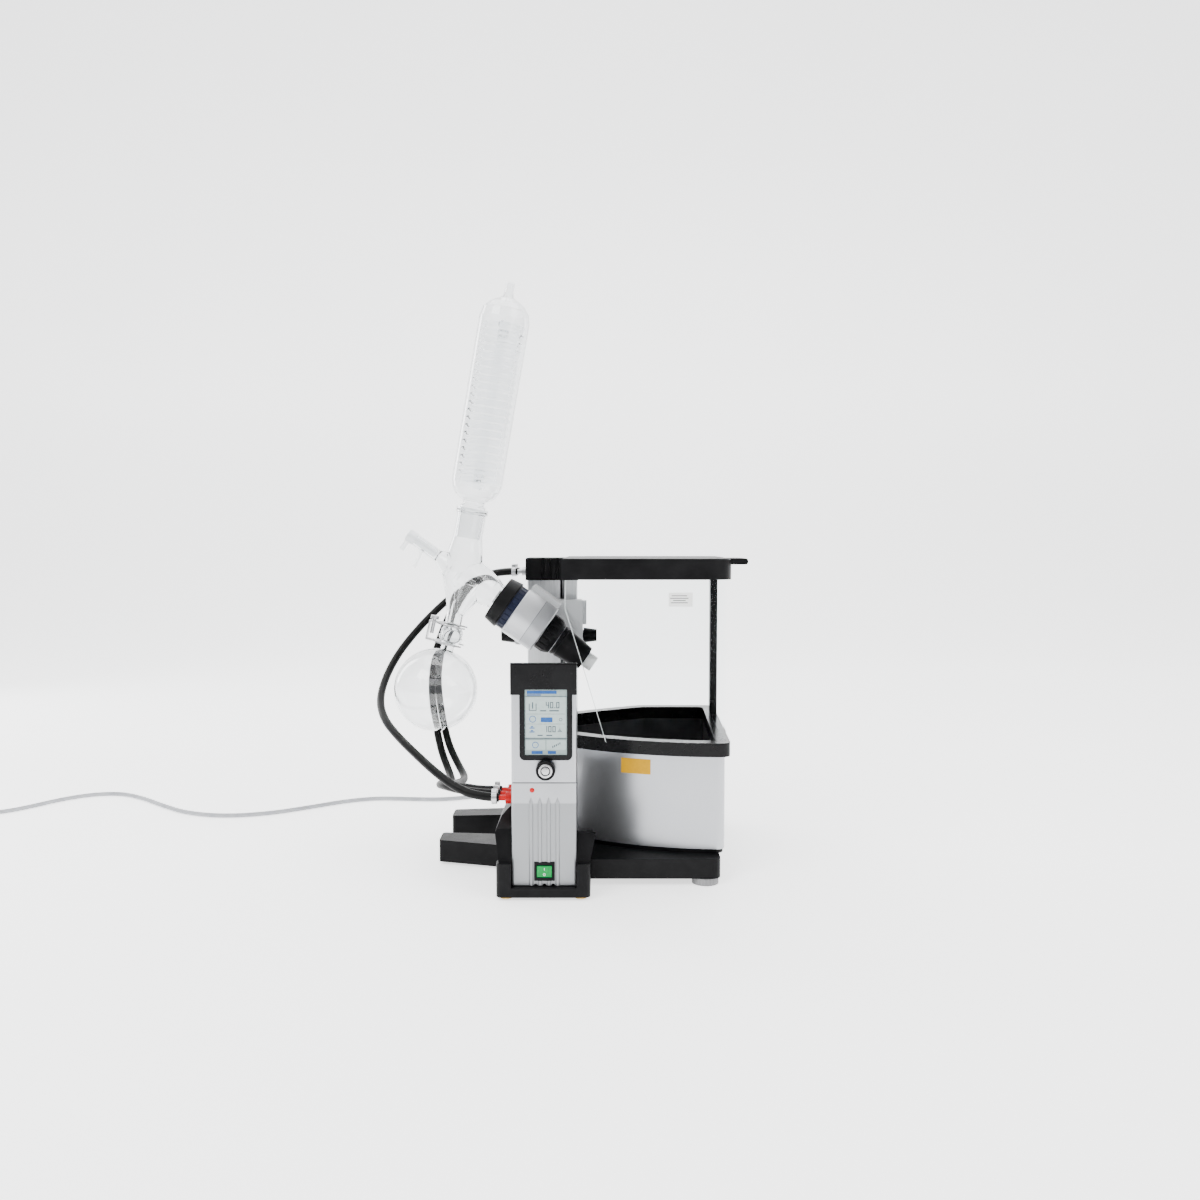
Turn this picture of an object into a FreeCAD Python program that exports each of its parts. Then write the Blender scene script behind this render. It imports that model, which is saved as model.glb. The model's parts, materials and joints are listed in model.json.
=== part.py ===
import FreeCAD, Part
import math
import os
import re

import Sketcher

# A bench-top rotary evaporator. A base with a control tower, a lift column and a heating bath under a
# hinged clear hood. The column carries a tilting rotary drive with a coil condenser, a distribution head and
# a receiving flask. Row frame: millimetres, +Z up, the operator stands at -Y, and the origin is on the bench
# under the middle of the machine.

V = FreeCAD.Vector
doc = FreeCAD.newDocument("rotary_evaporator")
sheet = doc.addObject("Spreadsheet::Sheet", "sizes")
PARTS = {}

SIZES = [
    # base casting
    ("foot_gap", 4, "bench to underside of the casting"),
    ("hub_left", -84, "left side of the hub"),
    ("hub_right", 44, "right side of the hub"),
    ("hub_front", -232, "front of the hub"),
    ("hub_back", 230, "back of the hub"),
    ("hub_top", 38, "top of the low part of the hub and platform"),
    ("lip_top", 50, "top of the front lip"),
    ("shoulder_top", 89, "top of the right shoulder beside the tower"),
    ("shoulder_peak", 112, "top of the left shoulder below the hose ports"),
    ("shoulder_front", -208, "front of the shoulders' crest"),
    ("shoulder_back", -112, "back of the shoulders"),
    ("seat_top", 60, "top of the seat under the lift column"),
    ("platform_right", 228, "right end of the bath platform"),
    ("platform_front", -172, "front of the bath platform"),
    ("platform_back", 168, "back of the bath platform"),
    ("platform_under", 10, "underside of the bath platform"),
    ("leg_end", -185, "left end of the two legs"),
    # tower
    ("tower_left", -63, "left side of the tower"),
    ("tower_right", 25, "right side of the tower"),
    ("tower_front", -222, "front face of the tower panels"),
    ("tower_back", -120, "back of the tower"),
    ("panel_thick", 6, "depth of the front panels"),
    ("tower_low", 18, "bottom of the tower"),
    ("rib_radius", 3, "radius of the lower panel's ribs"),
    ("rib_pitch", 12, "distance between the ribs"),
    ("rib_top", 131, "top of the straight part of the ribs"),
    ("split_height", 159, "height where the handset leaves the tower"),
    ("tower_high", 320, "top of the handset"),
    ("wall", 3, "wall of the plastic housings"),
    ("seam", 0.6, "gap at the handset seam"),
    # handset face
    ("hood_low", 279, "lower edge of the dark top of the handset"),
    ("bezel_half", 35.5, "half width of the display bezel"),
    ("bezel_low", 190, "lower edge of the display bezel"),
    ("window_half", 28.5, "half width of the display window"),
    ("window_low", 197, "lower edge of the display window"),
    ("window_high", 286, "upper edge of the display window"),
    ("face_middle", -16, "middle of the display and the knob"),
    ("knob_height", 178.5, "height of the knob's axis"),
    ("knob_radius", 13.2, "radius of the knob"),
    ("knob_reach", 15, "how far the knob stands out"),
    # rocker switch
    ("switch_middle", -18.5, "middle of the rocker switch"),
    ("switch_height", 37.5, "height of the rocker's pivot"),
    ("switch_wide", 28, "width of the switch frame"),
    ("switch_tall", 26, "height of the switch frame"),
    ("rocker_wide", 20, "width of the rocker"),
    ("rocker_tall", 15, "height of the rocker"),
    # lift column
    ("column_left", -67, "left side of the column"),
    ("column_right", 18, "right side of the column"),
    ("column_front", 150, "front of the column"),
    ("column_back", 205, "back of the column"),
    ("column_top", 420, "top of the column"),
    ("column_wall", 4, "wall of the column extrusion"),
    ("slot_middle", -7, "middle of the carriage slot"),
    ("slot_wide", 8, "width of the carriage slot"),
    ("cap_top", 458, "top of the column cap"),
    ("cap_front", 130, "front of the column cap"),
    ("spindle_radius", 6, "radius of the lift spindle"),
    ("spindle_deep", 178, "distance of the spindle from the machine's middle"),
    ("journal_radius", 4, "radius of the lift spindle's journals"),
    ("running_gap", 0.08, "radial clearance of a running fit"),
    # carriage
    ("carriage_left", -85, "left side of the carriage"),
    ("carriage_right", 28, "right side of the carriage"),
    ("carriage_front", 102, "front of the carriage"),
    ("carriage_low", 314, "bottom of the carriage"),
    ("carriage_high", 388, "top of the carriage"),
    ("clamp_height", 328, "height of the clamp knobs"),
    ("clamp_deep", 122, "distance of the clamp knobs from the machine's middle"),
    # drive
    ("drive_deep", 20, "distance of the drive axis from the machine's middle"),
    ("pivot_across", -50, "tilt pivot, across"),
    ("pivot_height", 358.7, "tilt pivot, height"),
    ("drive_tilt", 35, "angle of the drive axis below the horizontal"),
    ("barrel_radius", 40, "radius of the drive barrel"),
    ("barrel_back", 32, "pivot to the glass end of the barrel"),
    ("barrel_front", 23, "pivot to the flask end of the barrel"),
    ("shaft_radius", 21, "radius of the hollow shaft"),
    ("vapour_radius", 11.5, "outer radius of the vapour tube"),
    ("joint_radius", 12.5, "outer radius of the vapour tube's bare end"),
    ("joint_long", 15, "length of the vapour tube's bare end"),
    ("sleeve_radius", 20, "radius of the flask sleeve"),
    ("sleeve_end", 102, "pivot to the end of the flask sleeve"),
    ("vapour_end", 118, "pivot to the end of the vapour tube"),
    ("nut_end", 66, "pivot to the outer end of the flange nut"),
    ("nut_start", 45, "pivot to the inner end of the flange nut"),
    ("pulley_radius", 24, "pitch radius of the shaft pulley"),
    ("pinion_radius", 9, "pitch radius of the motor pulley"),
    ("motor_offset", 48, "shaft axis to motor axis"),
    ("belt_wide", 8, "width of the drive belt"),
    # glass
    ("glass_tilt", 10, "lean of the condenser from the vertical"),
    ("glass_across", -160.9, "middle of the distribution head, across"),
    ("glass_height", 436.4, "middle of the distribution head, height"),
    ("glass_wall", 2.2, "wall of the glass"),
    ("jacket_radius", 39.5, "outer radius of the condenser jacket"),
    ("jacket_low", 131, "head middle to the lower shoulder of the jacket"),
    ("jacket_high", 404, "head middle to the upper shoulder of the jacket"),
    ("socket_high", 105, "head middle to the rim of the condenser socket"),
    ("socket_radius", 25, "outer radius of the rim of the condenser socket"),
    ("coil_radius", 30, "radius of the coil's centreline"),
    ("coil_tube", 4, "radius of the coil's tube"),
    ("coil_pitch", 12, "pitch of the coil"),
    ("ball_drop", 98, "head middle to the centre of the ball joint"),
    ("ball_radius", 17.5, "radius of the ball joint"),
    ("flask_radius", 65.5, "outer radius of the one litre flask"),
    ("flask_drop", 92.7, "ball joint to the middle of the flask"),
    ("flask_tilt", 16, "lean of the hanging flask from the vertical"),
    # bath
    ("bath_right", 236, "right side of the bath"),
    ("bath_front", -148, "front of the bath at its right end"),
    ("bath_back", 184, "back of the bath"),
    ("bath_nose", -50, "left end of the bath"),
    ("bath_low", 44, "bottom of the silver bath wall"),
    ("bath_high", 179, "top of the silver bath wall"),
    ("rim_top", 199, "top of the bath rim"),
    ("rim_wide", 20, "width of the bath rim"),
    ("pan_floor", 72, "floor of the bath pan"),
    # hood
    ("lid_low", 431, "lower edge of the hood lid"),
    ("lid_top", 461, "top of the hood lid"),
    ("lid_left", 2, "left side of the hood lid"),
    ("lid_right", 246, "right side of the hood lid"),
    ("lid_flare", 7, "how far the lid widens towards the back"),
    ("tab_end", 270, "end of the hood's pull tab"),
    ("pane_right", 240, "right face of the clear panes"),
    ("pane_thick", 4, "thickness of the clear panes"),
    ("pane_low", 199.8, "lower edge of the clear panes"),
    ("hinge_across", 11, "hood hinge, across"),
    ("hinge_height", 445, "hood hinge, height"),
    ("hinge_radius", 4, "radius of the hood hinge pin"),
    # hoses and mains lead
    ("hose_radius", 6, "outer radius of the hoses"),
    ("port_height", 128, "height of the lower hose ports"),
    ("port_front", -180, "place of the front hose port"),
    ("port_pitch", 22, "distance between the hose ports"),
    ("port_high", 434, "height of the upper hose ports"),
    ("lead_radius", 3.75, "radius of the mains lead"),
    ("coil_ring", 43, "radius of the put-away coil of the lead at the middle of its turns"),
    ("coil_bundle", 8.5, "radius of the bundle of its turns"),
    ("coil_across", -1074, "middle of the coil, across"),
    ("coil_deep", 153, "middle of the coil, distance from the machine's middle"),
    ("lead_end", 214, "distance of the plug from the machine's middle"),
    ("inlet_height", 28, "height of the mains inlet"),
]
ALIASES = {alias for alias, _, _ in SIZES}
for row, (alias, number, note) in enumerate(SIZES, start=1):
    sheet.set(f"A{row}", note)
    sheet.set(f"B{row}", str(number))
    sheet.setAlias(f"B{row}", alias)
doc.recompute()

# ---------------------------------------------------------------- helpers

TURNS = {
    "X": FreeCAD.Rotation(V(0, 1, 0), 90),
    "Y": FreeCAD.Rotation(V(1, 0, 0), -90),
    "Z": FreeCAD.Rotation(),
}


def size(expression):
    """The present value of a formula of the sheet's sizes."""
    return float(sheet.evalExpression(str(expression)))


def bound(expression):
    """The formula as another object of the document has to write it."""
    return re.sub(
        r"[a-z][a-z_]*", lambda w: "sizes." + w.group() if w.group() in ALIASES else w.group(), str(expression)
    )


def bind(item, prop, expression):
    item.setExpression(prop, bound(expression))


def locate(item, corner, axis="Z"):
    """Puts a primitive at a bound place, with its own Z along the named axis."""
    item.Placement = FreeCAD.Placement(V(*[size(c) for c in corner]), TURNS[axis])
    for letter, expression in zip("xyz", corner):
        bind(item, f".Placement.Base.{letter}", expression)


def block(low, high):
    """A box between two corners."""
    box = doc.addObject("Part::Box", "box")
    for prop, near, far in zip(("Length", "Width", "Height"), low, high):
        bind(box, prop, f"({far}) - ({near})")
    locate(box, low)
    return box


def rod(radius, length, foot, axis="Z"):
    """A cylinder of that radius and length, from its foot along an axis."""
    cylinder = doc.addObject("Part::Cylinder", "cylinder")
    bind(cylinder, "Radius", radius)
    bind(cylinder, "Height", length)
    locate(cylinder, foot, axis)
    return cylinder


def taper(radius_foot, radius_end, length, foot, axis="Z"):
    """A cone frustum from its foot along an axis."""
    cone = doc.addObject("Part::Cone", "cone")
    bind(cone, "Radius1", radius_foot)
    bind(cone, "Radius2", radius_end)
    bind(cone, "Height", length)
    locate(cone, foot, axis)
    return cone


def fuse(*items):
    joined = doc.addObject("Part::MultiFuse", "fusion")
    joined.Shapes = list(items)
    joined.Refine = True
    return joined


def cut(base, *tools):
    taken = doc.addObject("Part::Cut", "cut")
    taken.Base = base
    taken.Tool = tools[0] if len(tools) == 1 else fuse(*tools)
    taken.Refine = True
    return taken


def group(*items):
    """Separate identical solids that share one node."""
    several = doc.addObject("Part::Compound", "group")
    several.Links = list(items)
    return several


def solid(shape):
    """A free-form shape as an object of the document."""
    item = doc.addObject("Part::Feature", "shape")
    item.Shape = shape
    return item


def soften(item, radius, choose):
    """Rounds the chosen edges of a boolean or primitive."""
    doc.recompute()
    rounded = doc.addObject("Part::Fillet", "rounded")
    rounded.Base = item
    rounded.Edges = [
        (i, size(radius), size(radius)) for i, edge in enumerate(item.Shape.Edges, start=1) if choose(edge)
    ]
    return rounded


def upright(edge):
    """True for a straight vertical edge."""
    if edge.Curve.TypeId != "Part::GeomLine":
        return False
    return abs(edge.tangentAt(edge.FirstParameter).z) > 0.99


def inwards(edge):
    """True for a straight edge from the front to the back."""
    return edge.Curve.TypeId == "Part::GeomLine" and abs(edge.tangentAt(edge.FirstParameter).y) > 0.99


def level(height):
    """Chooses edges that lie wholly at a height."""
    return lambda edge: all(abs(p.Point.z - size(height)) < 0.01 for p in edge.Vertexes)


def arc_middle(start, end, radius):
    """The middle of the short arc from start to end; a positive radius has its centre on the left."""
    chord = end - start
    half = chord.Length / 2
    left = V(-chord.y, chord.x, 0).normalize()
    reach = math.sqrt(max(radius * radius - half * half, 0.0))
    side = 1 if radius > 0 else -1
    centre = (start + end) / 2 + left * reach * side
    return centre - left * side * abs(radius)


def outline(body, role, points, height="0"):
    """A closed, fully bound sketch on an origin plane of the body.

    A point is (x, y) or (x, y, radius), where the radius makes the edge that ends there an arc."""
    plane = next(f for f in body.Origin.OriginFeatures if f.Role == role)
    sketch = body.newObject("Sketcher::SketchObject", "sketch")
    sketch.AttachmentSupport = [(plane, "")]
    sketch.MapMode = "FlatFace"
    if height != "0":
        bind(sketch, ".AttachmentOffset.Base.z", height)
    places = [V(size(p[0]), size(p[1]), 0) for p in points]
    ends = []
    for i, point in enumerate(points):
        start, end = places[i - 1], places[i]
        if len(point) > 2:
            middle = arc_middle(start, end, size(point[2]))
            piece = sketch.addGeometry(Part.Arc(start, middle, end))
            first = 1 if sketch.getPoint(piece, 1).distanceToPoint(start) < 1e-6 else 2
            radius = sketch.addConstraint(Sketcher.Constraint("Radius", piece, abs(size(point[2]))))
            bind(sketch, f"Constraints[{radius}]", f"abs({point[2]})")
        else:
            piece = sketch.addGeometry(Part.LineSegment(start, end))
            first = 1
        ends.append((piece, first, 3 - first))
    for i, point in enumerate(points):
        piece, _, last = ends[i]
        after, first, _ = ends[(i + 1) % len(points)]
        sketch.addConstraint(Sketcher.Constraint("Coincident", piece, last, after, first))
        ways = ("DistanceX", -2, point[0], places[i].x), ("DistanceY", -1, point[1], places[i].y)
        for kind, axis, where, value in ways:
            if abs(value) < 1e-9:
                sketch.addConstraint(Sketcher.Constraint("PointOnObject", piece, last, axis))
            else:
                number = sketch.addConstraint(Sketcher.Constraint(kind, -1, 1, piece, last, value))
                bind(sketch, f"Constraints[{number}]", where)
    return sketch


def padded(role, points, length, height="0", body=None, backwards=False):
    """A body, or a further pad of a body, from an outline."""
    body = body or doc.addObject("PartDesign::Body", "body")
    sketch = outline(body, role, points, height)
    pad = body.newObject("PartDesign::Pad", "pad")
    pad.Profile = sketch
    bind(pad, "Length", length)
    pad.Reversed = backwards
    doc.recompute()
    return body


def turned(points):
    """A body of revolution about its own Z from a profile of (radius, height) points."""
    body = doc.addObject("PartDesign::Body", "body")
    sketch = outline(body, "XZ_Plane", points)
    revolution = body.newObject("PartDesign::Revolution", "revolution")
    revolution.Profile = sketch
    revolution.ReferenceAxis = (sketch, ["V_Axis"])
    revolution.Angle = 360
    doc.recompute()
    return body


def part(name, item, placement=None):
    """Names a finished sub-part, and moves it from its own frame into the row frame."""
    if placement is not None:
        item.Placement = placement
    item.Label = name
    PARTS[name] = item
    return item


def leaning(across, height, angle):
    """A frame in the drive's plane whose Z leans from the vertical towards +X by the angle."""
    return FreeCAD.Placement(
        V(size(across), size("drive_deep"), size(height)), FreeCAD.Rotation(V(0, 1, 0), size(angle))
    )


def tube_along(route, radius):
    """A tube along straight runs joined by tangent arcs, as large as the runs allow."""
    corners = [V(*point) for point in route]
    edges, start, radii = [], corners[0], []
    for before, here, after in zip(corners, corners[1:], corners[2:]):
        into, out = (here - before), (after - here)
        turn = into.getAngle(out)
        reach = 0.45 * min(into.Length, out.Length)
        radii.append(reach / math.tan(turn / 2))
        first = here - into.normalize() * reach
        last = here + out.normalize() * reach
        centre_way = (out - into).normalize()
        middle = here + centre_way * (radii[-1] / math.cos(turn / 2) - radii[-1])
        edges.append(Part.LineSegment(start, first).toShape())
        edges.append(Part.Arc(first, middle, last).toShape())
        start = last
    edges.append(Part.LineSegment(start, corners[-1]).toShape())
    path = Part.Wire(edges)
    circle = Part.Circle(corners[0], corners[1] - corners[0], radius)
    tube = path.makePipeShell([Part.Wire(circle.toShape())], True, False)
    expected = math.pi * radius * radius * path.Length
    print(
        f"tube: {path.Length:.0f} mm long, tightest {min(radii):.1f} mm, volume {tube.Volume / expected:.4f} of it"
    )
    return tube


drive_frame = leaning("pivot_across", "pivot_height", "90 + drive_tilt")
glass_frame = leaning("glass_across", "glass_height", "glass_tilt")

# ---------------------------------------------------------------- base


def shoulder(side_view, front_view):
    """One sculpted shoulder of the casting: the overlap of a side profile and a front profile."""
    across = padded("YZ_Plane", side_view, "hub_right - hub_left + 20", "hub_left - 10")
    deep = padded("XZ_Plane", front_view, "shoulder_back - hub_front", "-shoulder_back")
    both = doc.addObject("Part::MultiCommon", "shoulder")
    both.Shapes = [across, deep]
    return both


def right_shoulder():
    side_view = [
        ("tower_front", "lip_top"),
        ("shoulder_front", "shoulder_top - 1"),
        ("shoulder_front + 58", "shoulder_top - 19"),
        ("shoulder_back", "shoulder_top - 27"),
        ("shoulder_back", "hub_top - 8"),
        ("tower_front", "hub_top - 8"),
    ]
    front_view = [
        ("tower_right - 5", "hub_top - 8"),
        ("hub_right - 1", "hub_top - 8"),
        ("hub_right - 0.5", "lip_top"),
        ("hub_right + 7", "shoulder_top - 5"),
        ("tower_right + 2", "shoulder_top"),
        ("tower_right - 5", "shoulder_top"),
    ]
    return shoulder(side_view, front_view)


def left_shoulder():
    side_view = [
        ("tower_front", "lip_top"),
        ("shoulder_front", "shoulder_peak - 20"),
        ("shoulder_front + 43", "shoulder_peak"),
        ("shoulder_back", "shoulder_peak"),
        ("shoulder_back", "hub_top - 8"),
        ("tower_front", "hub_top - 8"),
    ]
    front_view = [
        ("tower_left + 3", "hub_top - 8"),
        ("hub_left + 3", "hub_top - 8"),
        ("hub_left + 3", "lip_top"),
        ("hub_left - 3", "shoulder_peak - 24"),
        ("hub_left + 4", "shoulder_peak - 8"),
        ("hub_left + 14", "shoulder_peak"),
        ("tower_left + 3", "shoulder_peak"),
    ]
    return shoulder(side_view, front_view)


def base_casting():
    """Hub, tower shoulders, column seat and bath platform in one casting, hollow below the bath."""
    hub = block(("hub_left", "hub_front", "foot_gap"), ("hub_right", "hub_back", "hub_top"))
    lip = block(("hub_left", "hub_front", "foot_gap"), ("hub_right", "shoulder_front - 2", "lip_top"))
    seat = block(
        ("column_left - 9", "column_front - 15", "foot_gap"), ("column_right + 9", "hub_back", "seat_top")
    )
    platform = block(
        ("hub_right - 10", "platform_front", "platform_under"), ("platform_right", "platform_back", "hub_top")
    )
    solids = [
        soften(hub, "9", upright),
        soften(lip, "9", upright),
        left_shoulder(),
        right_shoulder(),
        soften(seat, "9", upright),
        soften(platform, "12", upright),
    ]
    tower_well = block(
        ("tower_left - 0.5", "tower_front", "tower_low - 1"), ("tower_right + 0.5", "tower_back + 0.5", "200")
    )
    panel_well = block(
        ("tower_left - 0.5", "hub_front - 1", "tower_low - 1"), ("tower_right + 0.5", "tower_front + 1", "200")
    )
    middle_well = block(
        ("hub_left + 10", "shoulder_back + 6", "0"), ("hub_right - 10", "column_front - 22", "hub_top - 5")
    )
    spindle_hole = rod("journal_radius + running_gap", "20", ("slot_middle", "spindle_deep", "seat_top - 12"))
    inlet_well = block(("-35", "hub_back - 12", "inlet_height - 12"), ("-5", "hub_back + 1", "inlet_height + 12"))
    return cut(fuse(*solids), tower_well, panel_well, middle_well, spindle_hole, inlet_well)


def leg(front_end, front_hub, back_hub, back_end):
    """One tapered leg from the hub's left side to its free end."""
    plan = [("leg_end", front_end), ("hub_left", front_hub), ("hub_left", back_hub), ("leg_end", back_end)]
    body = padded("XY_Plane", plan, "hub_top - foot_gap - 1", "foot_gap")
    return soften(body, "5", lambda e: upright(e) and e.Vertexes[0].Point.x < size("leg_end") + 1)


part("base_casting", base_casting())
part("front_leg", leg("-76", "-104", "-46", "-36"))
part("rear_leg", leg("58", "66", "110", "98"))
part(
    "rubber_feet",
    group(
        rod("9", "foot_gap", ("leg_end + 14", "-57", "0")),
        rod("9", "foot_gap", ("leg_end + 14", "78", "0")),
        rod("9", "foot_gap", ("column_left", "hub_back - 16", "0")),
        rod("9", "foot_gap", ("column_right", "hub_back - 16", "0")),
        rod("11", "platform_under", ("platform_right - 24", "platform_back - 24", "0")),
    ),
)
part(
    "brass_feet",
    group(
        rod("8", "foot_gap", ("hub_left + 13", "hub_front + 14", "0")),
        rod("8", "foot_gap", ("hub_right - 13", "hub_front + 14", "0")),
    ),
)


def levelling_foot(across, deep, height):
    """A knurled disc with a short threaded stem above it."""
    disc = rod("19", f"{height} - 0.4", (across, deep, "0"))
    notches = [
        rod("1.2", "40", (f"{across} + 19.6 * cos({15 * i})", f"{deep} + 19.6 * sin({15 * i})", "-5"))
        for i in range(24)
    ]
    return cut(disc, *notches)


part("levelling_foot", levelling_foot("platform_right - 21", "platform_front + 16", "platform_under"))

# ---------------------------------------------------------------- tower

part(
    "tower_housing",
    cut(
        block(
            ("tower_left + 1", "tower_front + panel_thick", "tower_low"),
            ("tower_right - 1", "tower_back", "split_height"),
        ),
        block(
            ("tower_left + 1 + wall", "tower_front", "tower_low + wall"),
            ("tower_right - 1 - wall", "tower_back - wall", "split_height - wall"),
        ),
        rod("4.1", "20", ("tower_left - 5", "port_front", "port_height"), "X"),
        rod("4.1", "20", ("tower_left - 5", "port_front + port_pitch", "port_height"), "X"),
        rod("4.1", "20", ("tower_left - 5", "port_front + port_pitch * 2", "port_height"), "X"),
    ),
)


def front_corners(edge):
    """True for the upright edges of a panel's front face."""
    return upright(edge) and edge.Vertexes[0].Point.y < size("tower_front") + 1


def tower_panel():
    """Lower front panel with four half-round ribs, the switch opening and three notches at its foot."""
    sheet_metal = block(
        ("tower_left", "tower_front", "tower_low"),
        ("tower_right", "tower_front + panel_thick", "split_height - seam"),
    )
    rounded = soften(sheet_metal, "3.5", front_corners)
    ribs = []
    for i in range(4):
        middle = f"switch_middle + rib_pitch * {i - 1.5}"
        ribs.append(rod("rib_radius", "rib_top - tower_low", (middle, "tower_front + 1", "tower_low")))
        ribs.append(taper("rib_radius", "0.8", "9", (middle, "tower_front + 1", "rib_top")))
    opening = block(
        ("switch_middle - switch_wide / 2", "tower_front - 4", "switch_height - switch_tall / 2"),
        ("switch_middle + switch_wide / 2", "tower_front + panel_thick + 1", "switch_height + switch_tall / 2"),
    )
    notches = [
        rod("2.4", "12", (f"switch_middle + rib_pitch * ({i})", "tower_front - 4", "tower_low"), "Y")
        for i in (-1, 0, 1)
    ]
    return cut(fuse(rounded, *ribs), opening, *notches)


part("tower_panel", tower_panel())


def switch_frame():
    """Frame of the rocker switch with its case behind the panel."""
    half_wide, half_tall = "switch_wide / 2 - 0.2", "switch_tall / 2 - 0.2"
    case = block(
        (f"switch_middle - ({half_wide})", "tower_front - 1.6", f"switch_height - ({half_tall})"),
        (f"switch_middle + {half_wide}", "tower_front + 22", f"switch_height + {half_tall}"),
    )
    well = block(
        ("switch_middle - rocker_wide / 2 - 0.6", "tower_front - 4", "switch_height - rocker_tall / 2 - 1.2"),
        ("switch_middle + rocker_wide / 2 + 0.6", "tower_front + 12", "switch_height + rocker_tall / 2 + 1.2"),
    )
    pivot = rod(
        "1.5", "rocker_wide + 4", ("switch_middle - rocker_wide / 2 - 2", "tower_front + 4", "switch_height"), "X"
    )
    return fuse(cut(case, well), pivot)


part("switch_frame", switch_frame())
part(
    "switch_rocker",
    cut(
        padded(
            "YZ_Plane",
            [
                ("tower_front + 8", "switch_height - 4"),
                ("tower_front + 8", "switch_height + 4"),
                ("tower_front + 1", "switch_height + rocker_tall / 2"),
                ("tower_front - 2.4", "switch_height + rocker_tall / 2"),
                ("tower_front - 2.4", "switch_height - rocker_tall / 2", "30"),
                ("tower_front + 1", "switch_height - rocker_tall / 2"),
            ],
            "rocker_wide",
            "switch_middle - rocker_wide / 2",
        ),
        rod(
            "1.5 + running_gap",
            "rocker_wide + 4",
            ("switch_middle - rocker_wide / 2 - 2", "tower_front + 4", "switch_height"),
            "X",
        ),
    ),
)
# ---------------------------------------------------------------- handset


def handset_housing():
    """Rear shell of the lift-off handset, with a top that slants down to the back."""
    outer = padded(
        "YZ_Plane",
        [
            ("tower_front + panel_thick", "split_height + seam"),
            ("tower_back + 6", "split_height + seam"),
            ("tower_back + 6", "tower_high - 24"),
            ("tower_back - 4", "tower_high - 16"),
            ("tower_front + panel_thick", "tower_high - 1"),
        ],
        "tower_right - tower_left - 2",
        "tower_left + 1",
    )
    inner = padded(
        "YZ_Plane",
        [
            ("tower_front", "split_height + seam + wall"),
            ("tower_back + 2", "split_height + seam + wall"),
            ("tower_back + 2", "tower_high - 28"),
            ("tower_front", "tower_high - 12"),
        ],
        "tower_right - tower_left - 2 - wall * 2",
        "tower_left + 1 + wall",
    )
    return cut(outer, inner)


part("handset_housing", handset_housing())


def bezel_shape(grow, reach):
    """The dark face: full width at the top, a rounded frame round the display below."""
    low = f"bezel_low - ({grow})"
    left, right = f"face_middle - bezel_half - ({grow})", f"face_middle + bezel_half + ({grow})"
    face = block((left, "tower_front - 1", low), (right, reach, "hood_low + 6"))
    corners = soften(face, "7", lambda e: inwards(e) and e.Vertexes[0].Point.z < size("bezel_low") + 1)
    top = block(
        ("tower_left - 1", "tower_front - 1", f"hood_low - ({grow})"), ("tower_right + 1", reach, "tower_high + 2")
    )
    return fuse(corners, top)


def display_bezel():
    window = block(
        ("face_middle - window_half", "tower_front - 3", "window_low"),
        ("face_middle + window_half", "tower_front + 9", "window_high"),
    )
    framed = cut(bezel_shape("0", "tower_front + panel_thick"), window)
    return soften(framed, "2.5", lambda e: level("tower_high + 2")(e) and e.Length > 50)


part("display_bezel", display_bezel())


def handset_panel():
    """Silver face of the handset below and beside the bezel."""
    face = block(
        ("tower_left", "tower_front", "split_height + seam"),
        ("tower_right", "tower_front + panel_thick", "hood_low + 2"),
    )
    rounded = soften(face, "3.5", front_corners)
    shaft_hole = rod("5", "20", ("face_middle", "tower_front - 5", "knob_height"), "Y")
    return cut(rounded, bezel_shape("0.1", "tower_front + panel_thick + 1"), shaft_hole)


part("handset_panel", handset_panel())
part(
    "display_glass",
    block(
        ("face_middle - window_half + 0.1", "tower_front + 0.4", "window_low + 0.1"),
        ("face_middle + window_half - 0.1", "tower_front + 2.4", "window_high - 0.1"),
    ),
)
part(
    "control_knob",
    soften(
        fuse(
            rod(
                "knob_radius", "knob_reach", ("face_middle", "tower_front - knob_reach - 1.6", "knob_height"), "Y"
            ),
            rod("3", "14", ("face_middle", "tower_front - 2", "knob_height"), "Y"),
        ),
        "1.6",
        lambda e: e.Vertexes[0].Point.y < size("tower_front - knob_reach - 1") and e.Length > 40,
    ),
)
# ---------------------------------------------------------------- lift column


def column_profile():
    """Aluminium extrusion with front grooves and the carriage slot."""
    outer = block(("column_left", "column_front", "seat_top"), ("column_right", "column_back", "column_top"))
    inner = block(
        ("column_left + column_wall", "column_front + column_wall", "seat_top - 1"),
        ("column_right - column_wall", "column_back - column_wall", "column_top + 1"),
    )
    slot = block(
        ("slot_middle - slot_wide / 2", "column_front - 1", "seat_top + 120"),
        ("slot_middle + slot_wide / 2", "column_front + column_wall + 1", "column_top + 1"),
    )
    grooves = [
        block(
            (f"column_left + 21 + 12.2 * {i}", "column_front - 1", "seat_top - 1"),
            (f"column_left + 23 + 12.2 * {i}", "column_front + 1.6", "column_top + 1"),
        )
        for i in range(3)
    ]
    return cut(soften(outer, "2", upright), inner, slot, *grooves)


part("column_profile", column_profile())


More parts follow.
